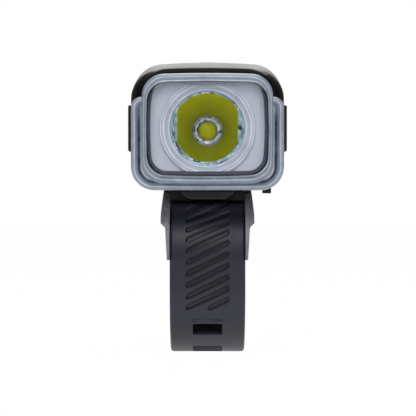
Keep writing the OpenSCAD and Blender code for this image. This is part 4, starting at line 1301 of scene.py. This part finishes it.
# Painted shade: the strap is darker in its grooves and on its inner face, where shade falls
set_shade(strap, strap_shade)
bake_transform(strap)
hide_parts("strap_front", "strap_tail")

# %% [markdown]
# ## Button and charging cover
# The button is soft rubber with a shallow dish for the thumb. The cover is a rubber flap with a pull tab.

# %% Button and cover
button = make_piece("thumb_button", merged_copy("power_button"), button_rubber_moulded)
dish_r, dish_depth = 24 * mm, 0.45 * mm
ball = bmesh.new()
bmesh.ops.create_uvsphere(ball, u_segments=96, v_segments=64, radius=dish_r,
                          matrix=Matrix.Translation((*button_at, button_high.z + dish_r - dish_depth)))
carve(button, make_piece("cutter", ball))
seat(round_edges(button, 0.3 * mm), "button", "button_rubber", "power_button")
softened("usb_cover", "port_cover", "charge_cover", "soft_black", cover_rubber_moulded, 0.3 * mm)

# %% [markdown]
# ## Housing screws
# Four equal screws hold the shells. Geometry Nodes put one screw on each of four points: a head with a
# hexagonal drive, and a shank. Their edges are rounded afterwards.

# %% Screws by instancing
def screw_tree(material, drive_sink=-0.4):
    """Geometry Nodes that put a socket-head screw on every point of the incoming mesh."""
    tree, size = new_tree("socket_screws", ("Head Radius", "Head Height", "Shank Radius", "Shank Length",
                                            "Drive Radius"))

    def rod(sides, radius, length, rise):
        """A prism with sizes from the tree's inputs, moved up by a number or a socket."""
        body = add(tree, "GeometryNodeMeshCylinder", {"Vertices": sides, "Radius": size[radius],
                                                      "Depth": size[length]})
        lift = add(tree, "ShaderNodeCombineXYZ", {2: rise}).outputs[0]
        moved = add(tree, "GeometryNodeTransform", {"Geometry": body.outputs["Mesh"], "Translation": lift})
        return moved.outputs[0]

    head = rod(40, "Head Radius", "Head Height", 0.0)
    drive = rod(6, "Drive Radius", "Head Height", calc(tree, "MULTIPLY", size["Head Height"], drive_sink))
    cut = add(tree, "GeometryNodeMeshBoolean", {0: head, 1: drive}, operation="DIFFERENCE")
    both = calc(tree, "ADD", size["Shank Length"], size["Head Height"])
    shank = rod(24, "Shank Radius", "Shank Length", calc(tree, "MULTIPLY", both, 0.5))
    screw = add(tree, "GeometryNodeJoinGeometry")
    for part in (cut.outputs[0], shank):
        tree.links.new(part, screw.inputs[0])
    return on_each_point(tree, size["Geometry"], screw.outputs[0], material)


screw_low, screw_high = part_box("housing_screws")
head_h, shank_r, drive_r, screw_edge = 1.5 * mm, 1.0 * mm, 1.15 * mm, 0.15 * mm
head_spots = [(x, y, screw_low.z + head_h / 2) for x, y in screw_places]
shank_l = screw_high.z - screw_low.z - head_h
screws = grown("shell_screws", screw_tree(steel_zinc_plated), head_spots, Head_Radius=head_r,
               Head_Height=head_h, Shank_Radius=shank_r, Shank_Length=shank_l, Drive_Radius=drive_r)
seat(round_edges(screws, screw_edge, 2), "lamp", "screw_steel", "housing_screws")

# %% [markdown]
# ## The hidden pieces
# What sits inside the lamp keeps its engineering shape and gets its own finish.

# %% Inner pieces
inner = {"foot_screws": steel_zinc_plated, "led_board": board_white_mask, "heat_sink": aluminium_extruded,
         "battery_cell": cell_shrunk_film, "battery_carrier": inner_abs_plain,
         "battery_contacts": brass_nickel_plated, "control_board": board_solder_mask,
         "tact_switch": inner_abs_plain, "usb_socket": steel_zinc_plated, "usb_board": board_solder_mask}
for node, material in inner.items():
    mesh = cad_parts[node].data
    mesh.materials.clear()
    mesh.materials.append(material)
print("inner pieces:", len(inner))
